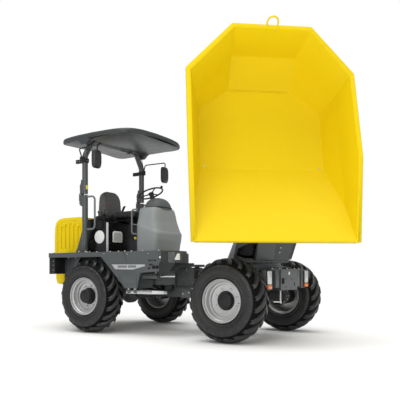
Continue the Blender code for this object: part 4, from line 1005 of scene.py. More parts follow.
def makeLowerStep():
    outline = [(-0.582, -0.945), (-0.12, -0.945), (0.018, -0.862), (0.018, -0.784), (-0.582, -0.784)]
    tread = plate(outline, "Z", 0.626, 0.634, 0.0015)
    front = plate([(-0.582, -0.945), (-0.12, -0.945), (0.018, -0.862), (0.016, -0.856), (-0.121, -0.938),
                   (-0.582, -0.938)], "Z", 0.59, 0.633, 0.001)
    back = block((-0.582, -0.79, 0.59), (0.018, -0.784, 0.633), 0.001)
    ends = [block((-0.582, -0.944, 0.59), (-0.576, -0.786, 0.633), 0.001),
            block((-0.19, -0.935, 0.592), (-0.184, -0.788, 0.63), 0.001)]
    teeth = []
    for count in range(11):
        for row in range(3):
            spot = (-0.545 + 0.046 * count, -0.915 + 0.045 * row, 0.634)
            teeth.append(lathe([(0.005, 0.0), (0.011, 0.0), (0.008, 0.0045), (0.0045, 0.0045)], spot, (0, 0, 1), 10))
    straps = [block((x, -0.95, 0.598), (x + 0.055, -0.944, 0.69), 0.001) for x in (-0.56, -0.445)]
    bolts = boltRow([(x + 0.027, -0.951, 0.655) for x in (-0.56, -0.445)], (0, -1, 0), 0.016, 0.008)
    return [(join(tread, front, back, *ends, *teeth), "treadAluminium"), (join(*straps), "darkPaint"),
            (bolts, "zinc")]


addPiece("lowerStepRight", makeLowerStep(), "rear_frame", "step_metal", ("step_right",))


def makeFascia():
    # bolt heads along the platform's edge, the coupling ports and the inner panels of the skirt
    bolts = []
    for x in (-2.08, -1.93, -1.36, -1.16, -0.9, -0.74, -0.62, -0.5, -0.3, -0.02):
        bolts.append(hexBolt((x, -0.928, 1.1868), (0, 0, 1), 0.018, 0.009))
    for x, z in ((-1.0, 1.16), (-0.56, 1.15), (-0.18, 1.15)):
        bolts.append(lathe([(0.0, 0.0), (0.008, 0.0), (0.006, 0.004), (0.0, 0.005)], (x, -0.95, z), (0, -1, 0), 14))
    ports = []
    for x, z, radius in ((-0.161, 1.056, 0.013), (-0.115, 1.057, 0.01), (-0.062, 1.057, 0.013),
                         (-0.15, 0.995, 0.012), (-0.118, 1.0, 0.01)):
        ports.append(lathe([(0.0, 0.006), (radius * 0.5, 0.006), (radius * 0.6, 0.0), (radius * 0.85, 0.008),
                            (radius, 0.008), (radius, 0.0), (0.0, 0.0)], (x, -0.95, z), (0, -1, 0), 20))
    seams = [plate([(-0.64, 1.183), (-0.634, 1.183), (-0.56, 1.02), (-0.566, 1.02)], "Y", -0.9508, -0.95, 0),
             block((-0.004, -0.9508, 1.045), (0.0, -0.95, 1.18), 0)]
    inner = [plate([(-0.735, 0.78), (-0.6, 0.69), (-0.4, 0.69), (-0.385, 0.86), (-0.44, 0.905),
                    (-0.735, 0.905)], "Y", -0.9535, -0.95, 0.001)]
    lower = [block((-0.6, -0.9545, 0.672), (-0.385, -0.95, 0.74), 0.0015)]
    return [(join(*bolts), "zinc"), (join(*ports), "blackPlastic"), (join(*seams), "blackSheet"),
            (join(*inner), "darkPaint"), (join(*lower), "darkPaint")]


def makeSkirtLower():
    # lower front part of the skirt with the big couplings
    panel = plate([(-0.352, 0.8), (-0.325, 0.9), (-0.1, 0.992), (0.001, 1.045), (0.001, 0.905),
                   (-0.318, 0.884)], "Y", -0.949, -0.94, 0.001)
    couplings = []
    for x, radius in ((-0.088, 0.026), (-0.028, 0.026), (-0.17, 0.013)):
        couplings.append(lathe([(0.0, 0.003), (radius * 0.45, 0.003), (radius * 0.5, 0.014), (radius * 0.75, 0.014),
                                (radius * 0.82, 0.006), (radius, 0.006), (radius, 0.0), (0.0, 0.0)],
                               (x, -0.949, 0.962 if radius > 0.02 else 0.946), (0, -1, 0), 28))
    return [(panel, "darkPaint"), (join(*couplings), "blackPlastic")]


addPiece("skirtLowerRight", makeSkirtLower(), "rear_frame", "dark_paint")
addPiece("fasciaRight", makeFascia(), "rear_frame", "dark_paint")
label = block((0.008, -0.9508, 1.087), (0.03, -0.9498, 1.109), 0)
addPiece("fasciaPlate", [(label, "whitePlate")], "rear_frame", "dark_paint")


def makeCornerLamp():
    # the sloped lamp bracket on the platform's clipped front corner
    back = plate([(0.06, -0.905), (0.118, -0.8), (0.178, -0.735), (0.21, -0.745), (0.15, -0.88)], "Z", 1.02,
                 1.165, 0.006)
    face = plate([(-0.085, -0.07), (0.078, -0.075), (0.1, 0.066), (-0.06, 0.07)], "X", 0.0, 0.012, 0.004)
    turn = Matrix.Translation((0.156, -0.832, 1.098)) @ Matrix.Rotation(math.radians(-38), 4, "Z") \
        @ Matrix.Rotation(math.radians(-8), 4, "Y")
    placed(face, turn)
    lens = block((0.01, -0.034, -0.044), (0.02, 0.04, 0.044), 0.004, 3)
    bars = [block((0.019, -0.036, z), (0.0215, 0.042, z + 0.004), 0.001) for z in (-0.016, 0.012)]
    for part in (lens, *bars):
        placed(part, turn)
    for part in (back, face, lens, *bars):
        moveBy(part, (0.045, 0.02, 0.004))
    return [(join(back, face), "darkPaint"), (join(lens), "whitePlate"), (join(*bars), "paleInset")]


addPiece("cornerLampRight", makeCornerLamp(), "rear_frame", "dark_paint")
print("platform made")


# ---- chassis, pivot and axles
def makeSideCheek():
    # Folded panel that runs inwards behind the skirt, with an opening for the steering ram.
    line = [(-0.64, -0.93), (-0.592, -0.93), (-0.42, -0.549)]
    inner = [(x - 0.004, y + 0.01) for x, y in reversed(line)]
    panel = plate(line + inner, "Z", 0.676, 1.13, 0)
    hole = block((-0.56, -0.7, 0.776), (-0.34, -0.4, 0.896), 0.02, 3)
    lipLow = plate(line + [(x + 0.01, y + 0.045) for x, y in reversed(line)], "Z", 0.664, 0.676, 0.001)
    return [(join(cutBy(panel, hole), lipLow), "darkPaint")]


addPiece("sideCheekRight", makeSideCheek(), "rear_frame", "dark_paint")


def makeRearFender():
    # inner sheet between the lamp and the wheel, with its bolts
    sheet = plate([(-2.04, 1.16), (-2.04, 0.8), (-1.99, 0.76), (-1.945, 0.79), (-1.8, 1.02),
                   (-1.7, 1.16)], "Y", -0.69, -0.684, 0.001)
    flange = block((-2.046, -0.72, 0.8), (-2.04, -0.5, 1.16), 0.001)
    bolts = boltRow([(x, -0.69, z) for x, z in ((-2.0, 1.12), (-2.0, 0.86), (-1.84, 1.12))], (0, -1, 0), 0.018,
                    0.009)
    return [(join(sheet, flange), "darkPaint"), (bolts, "zinc")]


bothSides("rearFender", makeRearFender, "rear_frame", "dark_paint")
addPiece("rearChassisFrame", [(nodeCopy("rear_chassis"), "darkPaint")], "rear_frame", "dark_paint",
         ("rear_chassis",), None, 30, 0.004)
chassisBolts = [boltRow([(x, -0.3402, z) for x in (-2.1, -1.95, -1.1, -0.98) for z in (0.78, 1.05)], (0, -1, 0),
                        0.026, 0.014)]
chassisBolts.append(mirrored(chassisBolts[0]))
ribs = [block((x, y, 0.715), (x + 0.012, y + 0.035, 1.16), 0.002) for x in (-1.7, -0.9)
        for y in (-0.376, 0.341)]
drop = []
for y in (-0.12, 0.05):
    drop.append(pipe([(-0.5, y, 0.8), (-0.34, y, 0.66), (-0.36, y * 1.6, 0.6), (-0.62, y * 1.6, 0.6),
                      (-0.95, y * 1.3, 0.68)], 0.016, 0.08, 4))
addPiece("chassisFittings", [(join(*chassisBolts), "zinc"), (join(*ribs), "darkPaint"),
                             (join(*drop), "rubberHose")], "rear_frame", "dark_paint")


addPiece("pivotYokeFrame", [(nodeCopy("pivot_yoke"), "darkPaint")], "pivot_yoke", "dark_paint", ("pivot_yoke",),
         None, 30, 0.004)
cheek = plate([(-0.036, 0.53), (0.116, 0.53), (0.136, 0.566), (0.136, 0.992), (0.052, 0.992), (-0.036, 0.922)], "Y",
              -0.3735, -0.3685, 0.001)
rim = [block((0.116, -0.47, 0.9), (0.139, -0.3685, 0.99), 0.003),
       plate([(-0.03, 0.918), (0.056, 0.986), (0.136, 0.986), (0.136, 0.978), (0.06, 0.978), (-0.026, 0.91)], "Y",
             -0.44, -0.3685, 0.001)]
pins = [lathe([(0.0, 0.0), (0.034, 0.0), (0.034, 0.01), (0.028, 0.014), (0.0, 0.014)], (0.03, -0.42, 0.886),
              (0, 0, 1), 28)]
yokeBolts = boltRow([(0.105, -0.374, z) for z in (0.6, 0.7, 0.95)] + [(0.0, -0.374, 0.58)], (0, -1, 0),
                    0.018, 0.009)
wing = plate([(-0.058, 0.672), (-0.058, 0.88), (-0.03, 0.926), (0.09, 0.95), (0.25, 0.958), (0.25, 0.672)],
             "Y", -0.462, -0.452, 0.002)
roof = plate([(-0.15, 0.905), (-0.036, 1.024), (0.25, 1.018), (0.25, 0.968), (0.09, 0.962), (-0.034, 0.936),
              (-0.066, 0.89)], "Y", -0.47, -0.458, 0.002)
ledges = [plate([(-0.15, 0.905), (-0.036, 1.024), (-0.032, 1.018), (-0.142, 0.903)], "Y", -0.5, -0.462, 0.001),
          block((-0.036, -0.5, 1.014), (0.25, -0.462, 1.02), 0.001),
          block((-0.058, -0.492, 0.672), (-0.052, -0.462, 0.88), 0.001),
          block((-0.058, -0.492, 0.672), (0.25, -0.462, 0.678), 0.001),
          block((0.15, -0.456, 0.76), (0.165, -0.38, 0.91), 0.001)]
cheekParts = join(wing, roof, *ledges)
addPiece("pivotWing", [(join(cheekParts, mirrored(cheekParts)), "castEngine")], "pivot_yoke", "dark_paint")
addPiece("pivotYokeFittings", [(join(cheek, *rim), "darkPaint"), (join(*pins), "chrome"), (yokeBolts, "zinc")],
         "pivot_yoke", "dark_paint")
for node, body in (("rear_axle", "rear_frame"), ("front_axle", "front_frame")):
    title = node.split("_")[0] + "AxleBeam"
    addPiece(title, [(nodeCopy(node), "darkPaint")], body, "dark_paint", (node,), None, 38, 0.004)
    middle = (-1.3 if node == "rear_axle" else 1.05, 0.0, 0.5375)
    flanges, studs = [], []
    for side in (-1, 1):
        flanges.append(lathe([(0.064, 0.0), (0.112, 0.0), (0.112, 0.016), (0.09, 0.028), (0.064, 0.04)],
                             (middle[0], side * 0.78, middle[2]), (0, -side, 0), 36))
        flanges.append(lathe([(0.06, -0.09), (0.086, -0.07), (0.086, 0.07), (0.06, 0.09)],
                             (middle[0], side * 0.44, middle[2]), (0, side, 0), 28))
        for count in range(10):
            angle = math.tau * count / 10
            studs.append(hexBolt((middle[0] + 0.098 * math.cos(angle), side * 0.762,
                                  middle[2] + 0.098 * math.sin(angle)), (0, -side, 0), 0.014, 0.007))
    addPiece(title + "Fittings", [(join(*flanges), "darkPaint"), (join(*studs), "zinc")], body, "dark_paint")
shaft = [rod((-1.155, 0, 0.54), (-0.62, 0, 0.56), 0.03, 20), rod((-1.165, 0, 0.54), (-1.1, 0, 0.542), 0.052, 20),
         rod((-0.66, 0, 0.558), (-0.6, 0, 0.561), 0.05, 20)]
addPiece("driveShaft", [(join(*shaft), "castEngine")], "rear_frame", "engine")


def makeFrontChassis():
    return worldCut(nodeCopy("front_chassis"), block((1.38, -0.243, 0.739), (1.6, -0.152, 0.817), 0),
                    plate([(0.15, 0.712), (0.175, 0.706), (0.19, 0.73), (0.176, 0.76), (0.156, 0.762),
                           (0.17, 0.738)], "X", 1.4, 1.6, 0))


addPiece("frontChassisFrame", [(makeFrontChassis(), "darkPaint")], "front_frame", "dark_paint", ("front_chassis",),
         None, 30, 0.004)


def makeNose():
    face = 1.494
    # painted shade: a black sheet at the back of the recess cut in the nose, standing in for the shade in it
    black = block((1.384, -0.24, 0.742), (1.392, -0.155, 0.814), 0)
    small = []
    for y, z in ((-0.1, 0.8), (0.055, 0.805), (0.08, 0.79), (0.16, 0.8), (-0.15, 0.69), (-0.1, 0.69),
                 (-0.105, 0.7), (0.06, 0.685), (0.2, 0.69)):
        small.append(lathe([(0.0, 0.0), (0.0075, 0.0), (0.006, 0.003), (0.0, 0.003)], (face, y, z), (1, 0, 0), 12))
    labelPlate = block((face - 0.001, -0.022, 0.86), (face + 0.001, 0.018, 0.898), 0)
    edgeStrip = block((face - 0.002, -0.268, 0.652), (face + 0.004, 0.268, 0.66), 0.001)
    # the upright grey pillar left of the plate and its mirror image
    pillars = [block((1.42, side * 0.33 - 0.065, 0.69), (1.48, side * 0.33 + 0.065, 0.925), 0.006)
               for side in (-1, 1)]
    shelf = [block((1.395, -0.47, 0.92), (1.47, 0.47, 0.936), 0.003)]
    bolts = boltRow([(1.44, y, 0.936) for y in (-0.42, -0.2, 0.05, 0.3, 0.44)], (0, 0, 1), 0.018, 0.01)
    return [(black, "blackSheet"), (join(*small), "blackPlastic"), (labelPlate, "whitePlate"),
            (join(edgeStrip, *pillars, *shelf), "darkPaint"), (bolts, "zinc")]


addPiece("nosePlate", makeNose(), "front_frame", "dark_paint")


def makeCooler():
    # finned cooler with its light guard bar under the nose plate, and two hoses beside it
    fins = [block((1.3, -0.33 + 0.024 * count, 0.52), (1.36, -0.322 + 0.024 * count, 0.66), 0.001)
            for count in range(13)]
    back = block((1.29, -0.34, 0.52), (1.302, -0.02, 0.69), 0.002)
    guard = pipe([(1.42, -0.34, 0.505), (1.44, -0.165, 0.498), (1.44, -0.165, 0.69)], 0.009, 0.015, 3)
    foot = lathe([(0.0, 0.0), (0.016, 0.0), (0.016, 0.01), (0.0, 0.012)], (1.44, -0.165, 0.492), (1, 0, 0), 16)
    hoses = [pipe([(1.35, 0.06, 0.66), (1.38, 0.09, 0.52), (1.3, 0.15, 0.44), (1.15, 0.18, 0.46)], 0.014, 0.06, 4),
             pipe([(1.33, 0.12, 0.66), (1.36, 0.17, 0.54), (1.28, 0.24, 0.48), (1.14, 0.26, 0.5)], 0.014, 0.06, 4)]
    return [(join(*fins, back), "blackPlastic"), (join(guard, foot), "whitePlate"), (join(*hoses), "rubberHose")]


addPiece("cooler", makeCooler(), "front_frame", "dark_paint")


def makeHeadlight():
    case = block((1.402, -0.664, 0.668), (1.47, -0.476, 0.926), 0.012, 3)
    shell = block((1.462, -0.664, 0.676), (1.482, -0.548, 0.92), 0.01, 3)
    lens = block((1.476, -0.657, 0.738), (1.504, -0.553, 0.914), 0.014, 4)
    amber = block((1.47, -0.661, 0.682), (1.506, -0.549, 0.732), 0.012, 4)
    bars = [block((1.5035, -0.65, z), (1.5055, -0.56, z + 0.004), 0.001) for z in (0.79, 0.85)]
    arm = block((1.38, -0.5, 0.72), (1.398, -0.2665, 0.86), 0.003)
    back = block((1.38, -0.66, 0.72), (1.402, -0.48, 0.88), 0.004)
    foot = block((1.41, -0.64, 0.664), (1.466, -0.5, 0.67), 0.001)
    screws = boltRow([(1.3985, y, 0.79) for y in (-0.33, -0.43)], (1, 0, 0), 0.016, 0.008)
    return [(join(case, arm, back, foot), "darkPaint"), (join(shell), "blackPlastic"), (lens, "clearLens"),
            (amber, "amberLens"), (join(*bars), "paleInset"), (screws, "zinc")]


bothSides("headlight", makeHeadlight, "front_frame", "lamp_lens", "headlight_")
slewBolts = []
for count in range(24):
    angle = math.tau * (count + 0.5) / 24
    slewBolts.append(hexBolt((0.93 + 0.409 * math.cos(angle), 0.409 * math.sin(angle), 0.929), (0, 0, -1),
                             0.016, 0.008))
slewRim = lathe([(0.404, 0.962), (0.4215, 0.962), (0.4225, 0.965), (0.4225, 0.981), (0.4195, 0.9842), (0.404, 0.9842)],
                (0.93, 0, 0), (0, 0, 1), 72)
addPiece("slewRing", [(join(*slewBolts), "zinc"), (slewRim, "greyPaint")], "front_frame", "dark_paint")
print("front half made")


# ---- rams: their CAD shape with glands and hose ends
def placeLikeJoint(jointName, slideName):
    start = Vector(jointPlace[jointName]["pos_m"])
    along = Vector(jointPlace[slideName]["axis"])
    turn = along.to_track_quat("X", "Z").to_matrix().to_4x4()
    return Matrix.Translation(start) @ turn


def makeRamFittings(length, radius):
    gland = lathe([(radius - 0.004, -0.045), (radius + 0.003, -0.042), (radius + 0.003, -0.01),
                   (radius - 0.002, -0.002), (radius - 0.006, 0.0)], (length, 0, 0), (1, 0, 0), 32)
    base = lathe([(radius - 0.002, 0.0), (radius + 0.003, 0.003), (radius + 0.003, 0.03), (radius - 0.002, 0.034)],
                 (0.08, 0, 0), (1, 0, 0), 32)
    ports = []
    for x in (0.11, length - 0.075):
        ports.append(rod((x, 0, radius - 0.006), (x, 0, radius + 0.016), 0.012, 16, 0.002))
        ports.append(hexBolt((x, 0, radius + 0.014), (0, 0, 1), 0.02, 0.01))
    return [(join(gland, base), "darkPaint"), (join(*ports), "zinc")]


addPiece("tipRamFittings", makeRamFittings(0.625, 0.046), "tip_barrel", "ram_paint", (),
         placeLikeJoint("tip_ram_swing", "tip_ram_stroke"))
addPiece("steerRamFittings", makeRamFittings(0.44, 0.042), "steer_barrel", "ram_paint", (),
         placeLikeJoint("steer_ram_swing", "steer_ram_stroke"))
for node, body, look, slotName in (
        ("tip_barrel", "tip_barrel", "ramPaint", "ram_paint"), ("tip_rod", "tip_rod", "chrome", "ram_rod"),
        ("steer_barrel", "steer_barrel", "ramPaint", "ram_paint"), ("steer_rod", "steer_rod", "chrome", "ram_rod")):
    addPiece(node.replace("_b", "B").replace("_r", "R") + "Body", [(nodeCopy(node), look)], body, slotName, (node,),
             None, 40, 0.0015)
print("rams made")


# ---- rear end: hood, ballast, lamps, engine
hoodSizes = {"half": 0.58, "rear": -2.46, "front": -1.76, "low": 1.203, "top": 1.775, "wall": 0.012}


def makeHood():
    sizes = hoodSizes
    rear, front, low, top, wall = (sizes[key] for key in ("rear", "front", "low", "top", "wall"))
    half = sizes["half"]
    side = [(front, low), (front, top - 0.12), (front - 0.02, top - 0.05), (front - 0.085, top - 0.006),
            (front - 0.18, top), (rear + 0.2, top), (rear + 0.1, top - 0.018), (rear + 0.038, top - 0.066),
            (rear + 0.01, top - 0.15), (rear, low + 0.24), (rear, low)]
    shell = plate(side, "Y", -half, half, 0)
    sideEdges = [edge for edge in shell.edges if abs(abs(edge.verts[0].co.y) - half) < 0.001
                 and abs(edge.verts[0].co.y - edge.verts[1].co.y) < 0.001
                 and max(vert.co.z for vert in edge.verts) > low + 0.01
                 and (min(vert.co.x for vert in edge.verts) < rear + 0.25
                      or min(vert.co.z for vert in edge.verts) > top - 0.13)]
    bmesh.ops.bevel(shell, geom=sideEdges, offset=0.045, segments=5, profile=0.5, material=-1, affect="EDGES",
                    clamp_overlap=True)
    inner = plate([(front + 0.05, low - 0.05), (front + 0.05, top - 0.075), (front - 0.05, top - 0.075),
                   (front - 0.07, top - wall), (rear + 0.205, top - wall), (rear + 0.112, top - 0.034),
                   (rear + 0.054, top - 0.078), (rear + wall + 0.012, top - 0.16), (rear + wall, low - 0.05)], "Y",
                  -half + wall + 0.02, half - wall - 0.02, 0)
    flutes = []
    for side in (-1, 1):
        for count, (x, tall) in enumerate(((-2.285, 1.64), (-2.19, 1.672), (-2.095, 1.684), (-2.0, 1.672),
                                           (-1.905, 1.632))):
            flute = plate([(x, 1.262), (x + 0.062, 1.262), (x + 0.066, tall - 0.04), (x + 0.052, tall - 0.008),
                           (x + 0.034, tall), (x + 0.012, tall - 0.008), (x - 0.004, tall - 0.04)], "Y",
                          *sorted((side * (half - 0.014), side * (half + 0.03))), 0)
            flutes.append(flute)
        arch = [(-2.345, 1.24), (-2.33, 1.24), (-2.33, 1.63), (-2.29, 1.688), (-2.1, 1.722),
                (-1.93, 1.7), (-1.85, 1.64), (-1.83, 1.56), (-1.816, 1.56), (-1.838, 1.65),
                (-1.922, 1.714), (-2.1, 1.737), (-2.298, 1.702), (-2.345, 1.636)]
        flutes.append(plate(arch, "Y", *sorted((side * (half - 0.004), side * (half + 0.03))), 0))
    return cutBy(shell, inner, *flutes)


addPiece("hoodShell", [(makeHood(), "yellowPaint")], "hood", "yellow_paint", ("hood",), machine, 26, 0.003)


def makeHoodTrim():
    seam = [block((-2.372, side * 0.5785 - 0.002, 1.206), (-2.368, side * 0.5785 + 0.002, 1.66), 0.0)
            for side in (-1, 1)]
    grille = block((-2.463, -0.36, 1.3), (-2.457, 0.36, 1.6), 0.002)
    louvres = [plate([(-2.47, 1.315 + 0.04 * count), (-2.46, 1.3 + 0.04 * count),
                      (-2.458, 1.312 + 0.04 * count), (-2.464, 1.325 + 0.04 * count)], "Y", -0.35, 0.35, 0.001)
               for count in range(7)]
    latch = [block((-2.468, -0.05, 1.222), (-2.458, 0.05, 1.262), 0.004)]
    lowSeam = [block((-2.455, side * 0.575 - 0.004, 1.2), (-1.765, side * 0.575 + 0.004, 1.206), 0)
               for side in (-1, 1)]
    knuckles, straps = [], []
    for y in (-0.35, 0.35):
        knuckles.append(cutBy(rod((-1.727, y - 0.025, 1.732), (-1.727, y + 0.025, 1.732), 0.018, 24, 0),
                              rod((-1.727, y - 0.05, 1.732), (-1.727, y + 0.05, 1.732), 0.0084, 16, 0)))
        straps.append(block((-1.79, y - 0.025, 1.716), (-1.737, y + 0.025, 1.726), 0.001))
    return [(join(*seam, *lowSeam), "blackSheet"), (join(grille), "grilleMesh"),
            (join(*louvres, *latch, *knuckles, *straps), "blackPlastic")]


addPiece("hoodTrim", makeHoodTrim(), "hood", "black_plastic")


def makeBallast():
    side = [(-2.2303, 0.74), (-2.2303, 1.1), (-2.4, 1.1), (-2.44, 1.05), (-2.43, 0.78), (-2.4, 0.7),
            (-2.33, 0.69)]
    body = plate(side, "Y", -0.56, 0.56, 0.018, 4)
    hitch = [block((-2.468, -0.06, 0.8), (-2.425, 0.06, 0.815), 0.003),
             block((-2.468, -0.06, 0.87), (-2.425, 0.06, 0.885), 0.003),
             rod((-2.452, 0, 0.79), (-2.452, 0, 0.905), 0.014, 20)]
    plateWhite = block((-2.4425, -0.16, 0.955), (-2.4365, 0.16, 1.035), 0.002)
    return [(body, "yellowPaint"), (join(*hitch), "darkPaint"), (plateWhite, "whitePlate")]


addPiece("ballast", makeBallast(), "rear_frame", "yellow_paint", ("rear_ballast",), machine, 30)


def makeRearLamp():
    frameBack = block((-2.12, -0.932, 0.862), (-2.042, -0.698, 1.116), 0.006)
    guard = [block((-2.168, -0.934, z), (-2.118, -0.696, z + 0.012), 0.003) for z in (0.86, 1.104)]
    guard += [block((-2.168, y, 0.862), (-2.118, y + 0.012, 1.114), 0.003) for y in (-0.934, -0.708)]
    lensRed = block((-2.152, -0.916, 0.99), (-2.118, -0.716, 1.09), 0.008, 3)
    lensAmber = block((-2.15, -0.916, 0.93), (-2.118, -0.716, 0.984), 0.008, 3)
    lensClear = block((-2.15, -0.916, 0.88), (-2.118, -0.716, 0.924), 0.008, 3)
    arm = block((-2.12, -0.72, 1.0), (-2.08, -0.3403, 1.114), 0.004)
    dots = [lathe([(0.0, 0.0), (0.007, 0.0), (0.006, 0.003), (0.0, 0.004)], (-2.08, -0.932, z), (0, -1, 0), 12)
            for z in (0.92, 1.0, 1.06)]
    return [(join(frameBack, *guard, arm), "blackPlastic"), (lensRed, "redLens"), (lensAmber, "amberLens"),
            (lensClear, "clearLens"), (join(*dots), "zinc")]


bothSides("rearLamp", makeRearLamp, "rear_frame", "black_plastic", "rear_lamp_")


def makeEngine():
    body = block((-2.24, -0.3, 1.1873), (-1.8, 0.24, 1.5), 0.02, 3)
    head = block((-2.2, -0.17, 1.5), (-1.84, 0.15, 1.63), 0.025, 4)
    filterCan = rod((-2.05, -0.4, 1.24), (-2.05, -0.4, 1.44), 0.06, 28, 0.01)
    airBox = rod((-2.22, 0.33, 1.5), (-1.86, 0.33, 1.5), 0.08, 28, 0.012)
    cooler = block((-2.31, -0.36, 1.1873), (-2.265, 0.4, 1.62), 0.008)
    pulleys = [rod((-2.262, y, z), (-2.242, y, z), radius, 28, 0.004)
               for y, z, radius in ((-0.03, 1.3, 0.085), (-0.17, 1.45, 0.045), (0.1, 1.47, 0.05))]
    ribsOnHead = [block((-2.18 + 0.06 * count, -0.15, 1.628), (-2.165 + 0.06 * count, 0.13, 1.638), 0.003)
                  for count in range(6)]
    lines = [pipe([(-2.05, -0.4, 1.44), (-2.05, -0.38, 1.54), (-2.02, -0.15, 1.57)], 0.012, 0.05, 3),
             pipe([(-1.9, 0.33, 1.58), (-1.88, 0.2, 1.62), (-1.95, 0.12, 1.6)], 0.028, 0.06, 4),
             pipe([(-2.26, 0.25, 1.56), (-2.15, 0.28, 1.58), (-2.1, 0.12, 1.56)], 0.018, 0.05, 4)]
    return [(join(body, head, *pulleys, *ribsOnHead), "castEngine"), (join(filterCan), "yellowPaint"),
            (join(airBox), "blackPlastic"), (cooler, "grilleMesh"), (join(*lines), "rubberHose")]


addPiece("engineUnit", makeEngine(), "rear_frame", "engine", ("engine_block",))
print("rear end made")


# ---- seat housing with its plates
addPiece("housingShell", [(nodeCopy("seat_housing"), "blackSheet")], "rear_frame", "black_sheet",
         ("seat_housing",), None, 30, 0.004)


def makeHousingTrim():
    # painted highlight: pale strips down the housing's two front corner edges
    strip = block((-1.278, -0.6026, 1.2), (-1.2474, -0.574, 1.655), 0.008, 3)
    cornerHighlights = [strip, mirrored(strip)]
    sign = lathe([(0.0, 0.0025), (0.094, 0.0025), (0.1, 0.0015), (0.101, 0.0), (0.0, 0.0)],
                 (-1.417, -0.6002, 1.435), (0, -1, 0), 64)
    outline = [(-0.484, 1.356), (-0.259, 1.356), (-0.259, 1.49), (-0.268, 1.514), (-0.292, 1.529), (-0.451, 1.529),
               (-0.475, 1.514), (-0.484, 1.49)]
    card = plate(outline, "X", -1.2498, -1.2472, 0.0008)
    inset = plate([(0.78 * (a + 0.3715) - 0.3715, 0.78 * (b - 1.44) + 1.44) for a, b in outline], "X",
                  -1.2473, -1.2466, 0.0)
    doorSeams = [block((-1.2497, 0.02, 1.215), (-1.2485, 0.024, 1.635), 0),
                 block((-1.2497, -0.545, 1.212), (-1.2485, 0.545, 1.216), 0)]
    handle = [block((-1.25, -0.06, 1.52), (-1.238, -0.005, 1.545), 0.004, 3)]
    vents = [block((-1.62, -0.6022, 1.26 + 0.028 * count), (-1.54, -0.6, 1.272 + 0.028 * count), 0.001)
             for count in range(5)]
    vents += [mirrored(vents[index]) for index in range(5)]
    edge = [block((left, side * 0.592 - 0.012, 1.7155), (-1.525, side * 0.592 + 0.012, 1.7185), 0.001)
            for left, side in ((-1.685, -1), (-1.685, 1))]
    return [(join(*cornerHighlights), "paleInset"), (join(sign, card), "whitePlate"), (inset, "paleInset"),
            (join(*doorSeams, *handle, *vents, *edge), "blackPlastic")]


addPiece("housingTrim", makeHousingTrim(), "rear_frame", "black_sheet")


# ---- steering console: one moulding with a ledge, a darker dome and two rails
consoleSizes = {"rear": -0.935, "low": 1.1886, "ledgeRear": 1.64, "ledgeFront": 1.49, "dome": (-0.735, 0, 1.86),
                "domeReach": (0.18, 0.225, 0.192)}


def ringPoint(angle, rear, front, half, height, power=6.0, slant=0.0):
    c, s = math.cos(angle), math.sin(angle)
    middle, reach = (rear + front) / 2, (front - rear) / 2
    along = math.copysign(abs(c) ** (2 / power), c)
    across = math.copysign(abs(s) ** (2 / power), s)
    return Vector((middle + reach * along, half * across, height - slant * along))


def stackRings(rings, steps=64):
    # A capped circle is extruded from ring to ring; each ring gives a point for an angle.
    bm = bmesh.new()
    bmesh.ops.create_circle(bm, cap_ends=True, segments=steps, radius=1.0)
    top = bm.faces[:][0]
    angles = {vert: math.atan2(vert.co.y, vert.co.x) for vert in top.verts}
    for vert in top.verts:
        vert.co = rings[0](angles[vert])
    for ring in rings[1:]:
        before = {tuple(round(value, 5) for value in vert.co): angles[vert] for vert in top.verts}
        grown = bmesh.ops.extrude_face_region(bm, geom=[top])["geom"]
        top = next(item for item in grown if isinstance(item, bmesh.types.BMFace))
        angles = {vert: before[tuple(round(value, 5) for value in vert.co)] for vert in top.verts}
        for vert in top.verts:
            vert.co = ring(angles[vert])
    bmesh.ops.recalc_face_normals(bm, faces=bm.faces)
    return bm


def sectionRing(*values, **more):
    return lambda angle: ringPoint(angle, *values, **more)


def makeConsole():
    rear = consoleSizes["rear"]
    middle = (consoleSizes["ledgeRear"] + consoleSizes["ledgeFront"]) / 2
    slant = (consoleSizes["ledgeRear"] - consoleSizes["ledgeFront"]) / 2
    low = consoleSizes["low"]
    rows = [(rear, -0.52, 0.35, low, 5.5, 0), (rear, -0.516, 0.351, low + 0.03, 5.5, 0),
            (rear, -0.5, 0.354, 1.32, 5.2, 0.02), (rear, -0.478, 0.356, 1.43, 5, 0.05),
            (rear, -0.468, 0.357, middle - 0.04, 5, slant * 0.9), (rear, -0.469, 0.356, middle - 0.014, 5, slant),
            (rear, -0.478, 0.35, middle + 0.008, 5, slant), (rear, -0.49, 0.342, middle + 0.03, 5, slant),
            (rear, -0.508, 0.332, middle + 0.075, 4.8, slant * 0.8), (rear, -0.534, 0.318, 1.7, 4.6, 0.03),
            (rear, -0.552, 0.304, 1.79, 4.4, 0.01), (rear, -0.564, 0.288, 1.85, 4.2, 0),
            (rear + 0.004, -0.577, 0.274, 1.876, 4.2, 0), (rear + 0.03, -0.6, 0.25, 1.89, 4, 0),
            (rear + 0.06, -0.63, 0.215, 1.894, 4, 0)]
    rings = [sectionRing(a, b, c, d, e, f) for a, b, c, d, e, f in rows]
    return stackRings(rings, 72)


def makeDome():
    cx, cy, cz = consoleSizes["dome"]
    rx, ry, rz = consoleSizes["domeReach"]
    rings = []
    for count in range(12):
        lift = math.radians(2 + 86 * count / 11)
        rings.append(sectionRing(cx - rx * math.cos(lift) ** 0.8, cx + rx * math.cos(lift) ** 0.8,
                                 ry * math.cos(lift) ** 0.8, cz + rz * math.sin(lift), 2.6))
    return stackRings(rings, 56)


def makeRail():
    return pipe([(-0.915, -0.3, 1.48), (-0.98, -0.345, 1.48), (-0.98, -0.345, 1.86),
                 (-0.915, -0.282, 1.86)], 0.0138, 0.045, 5)


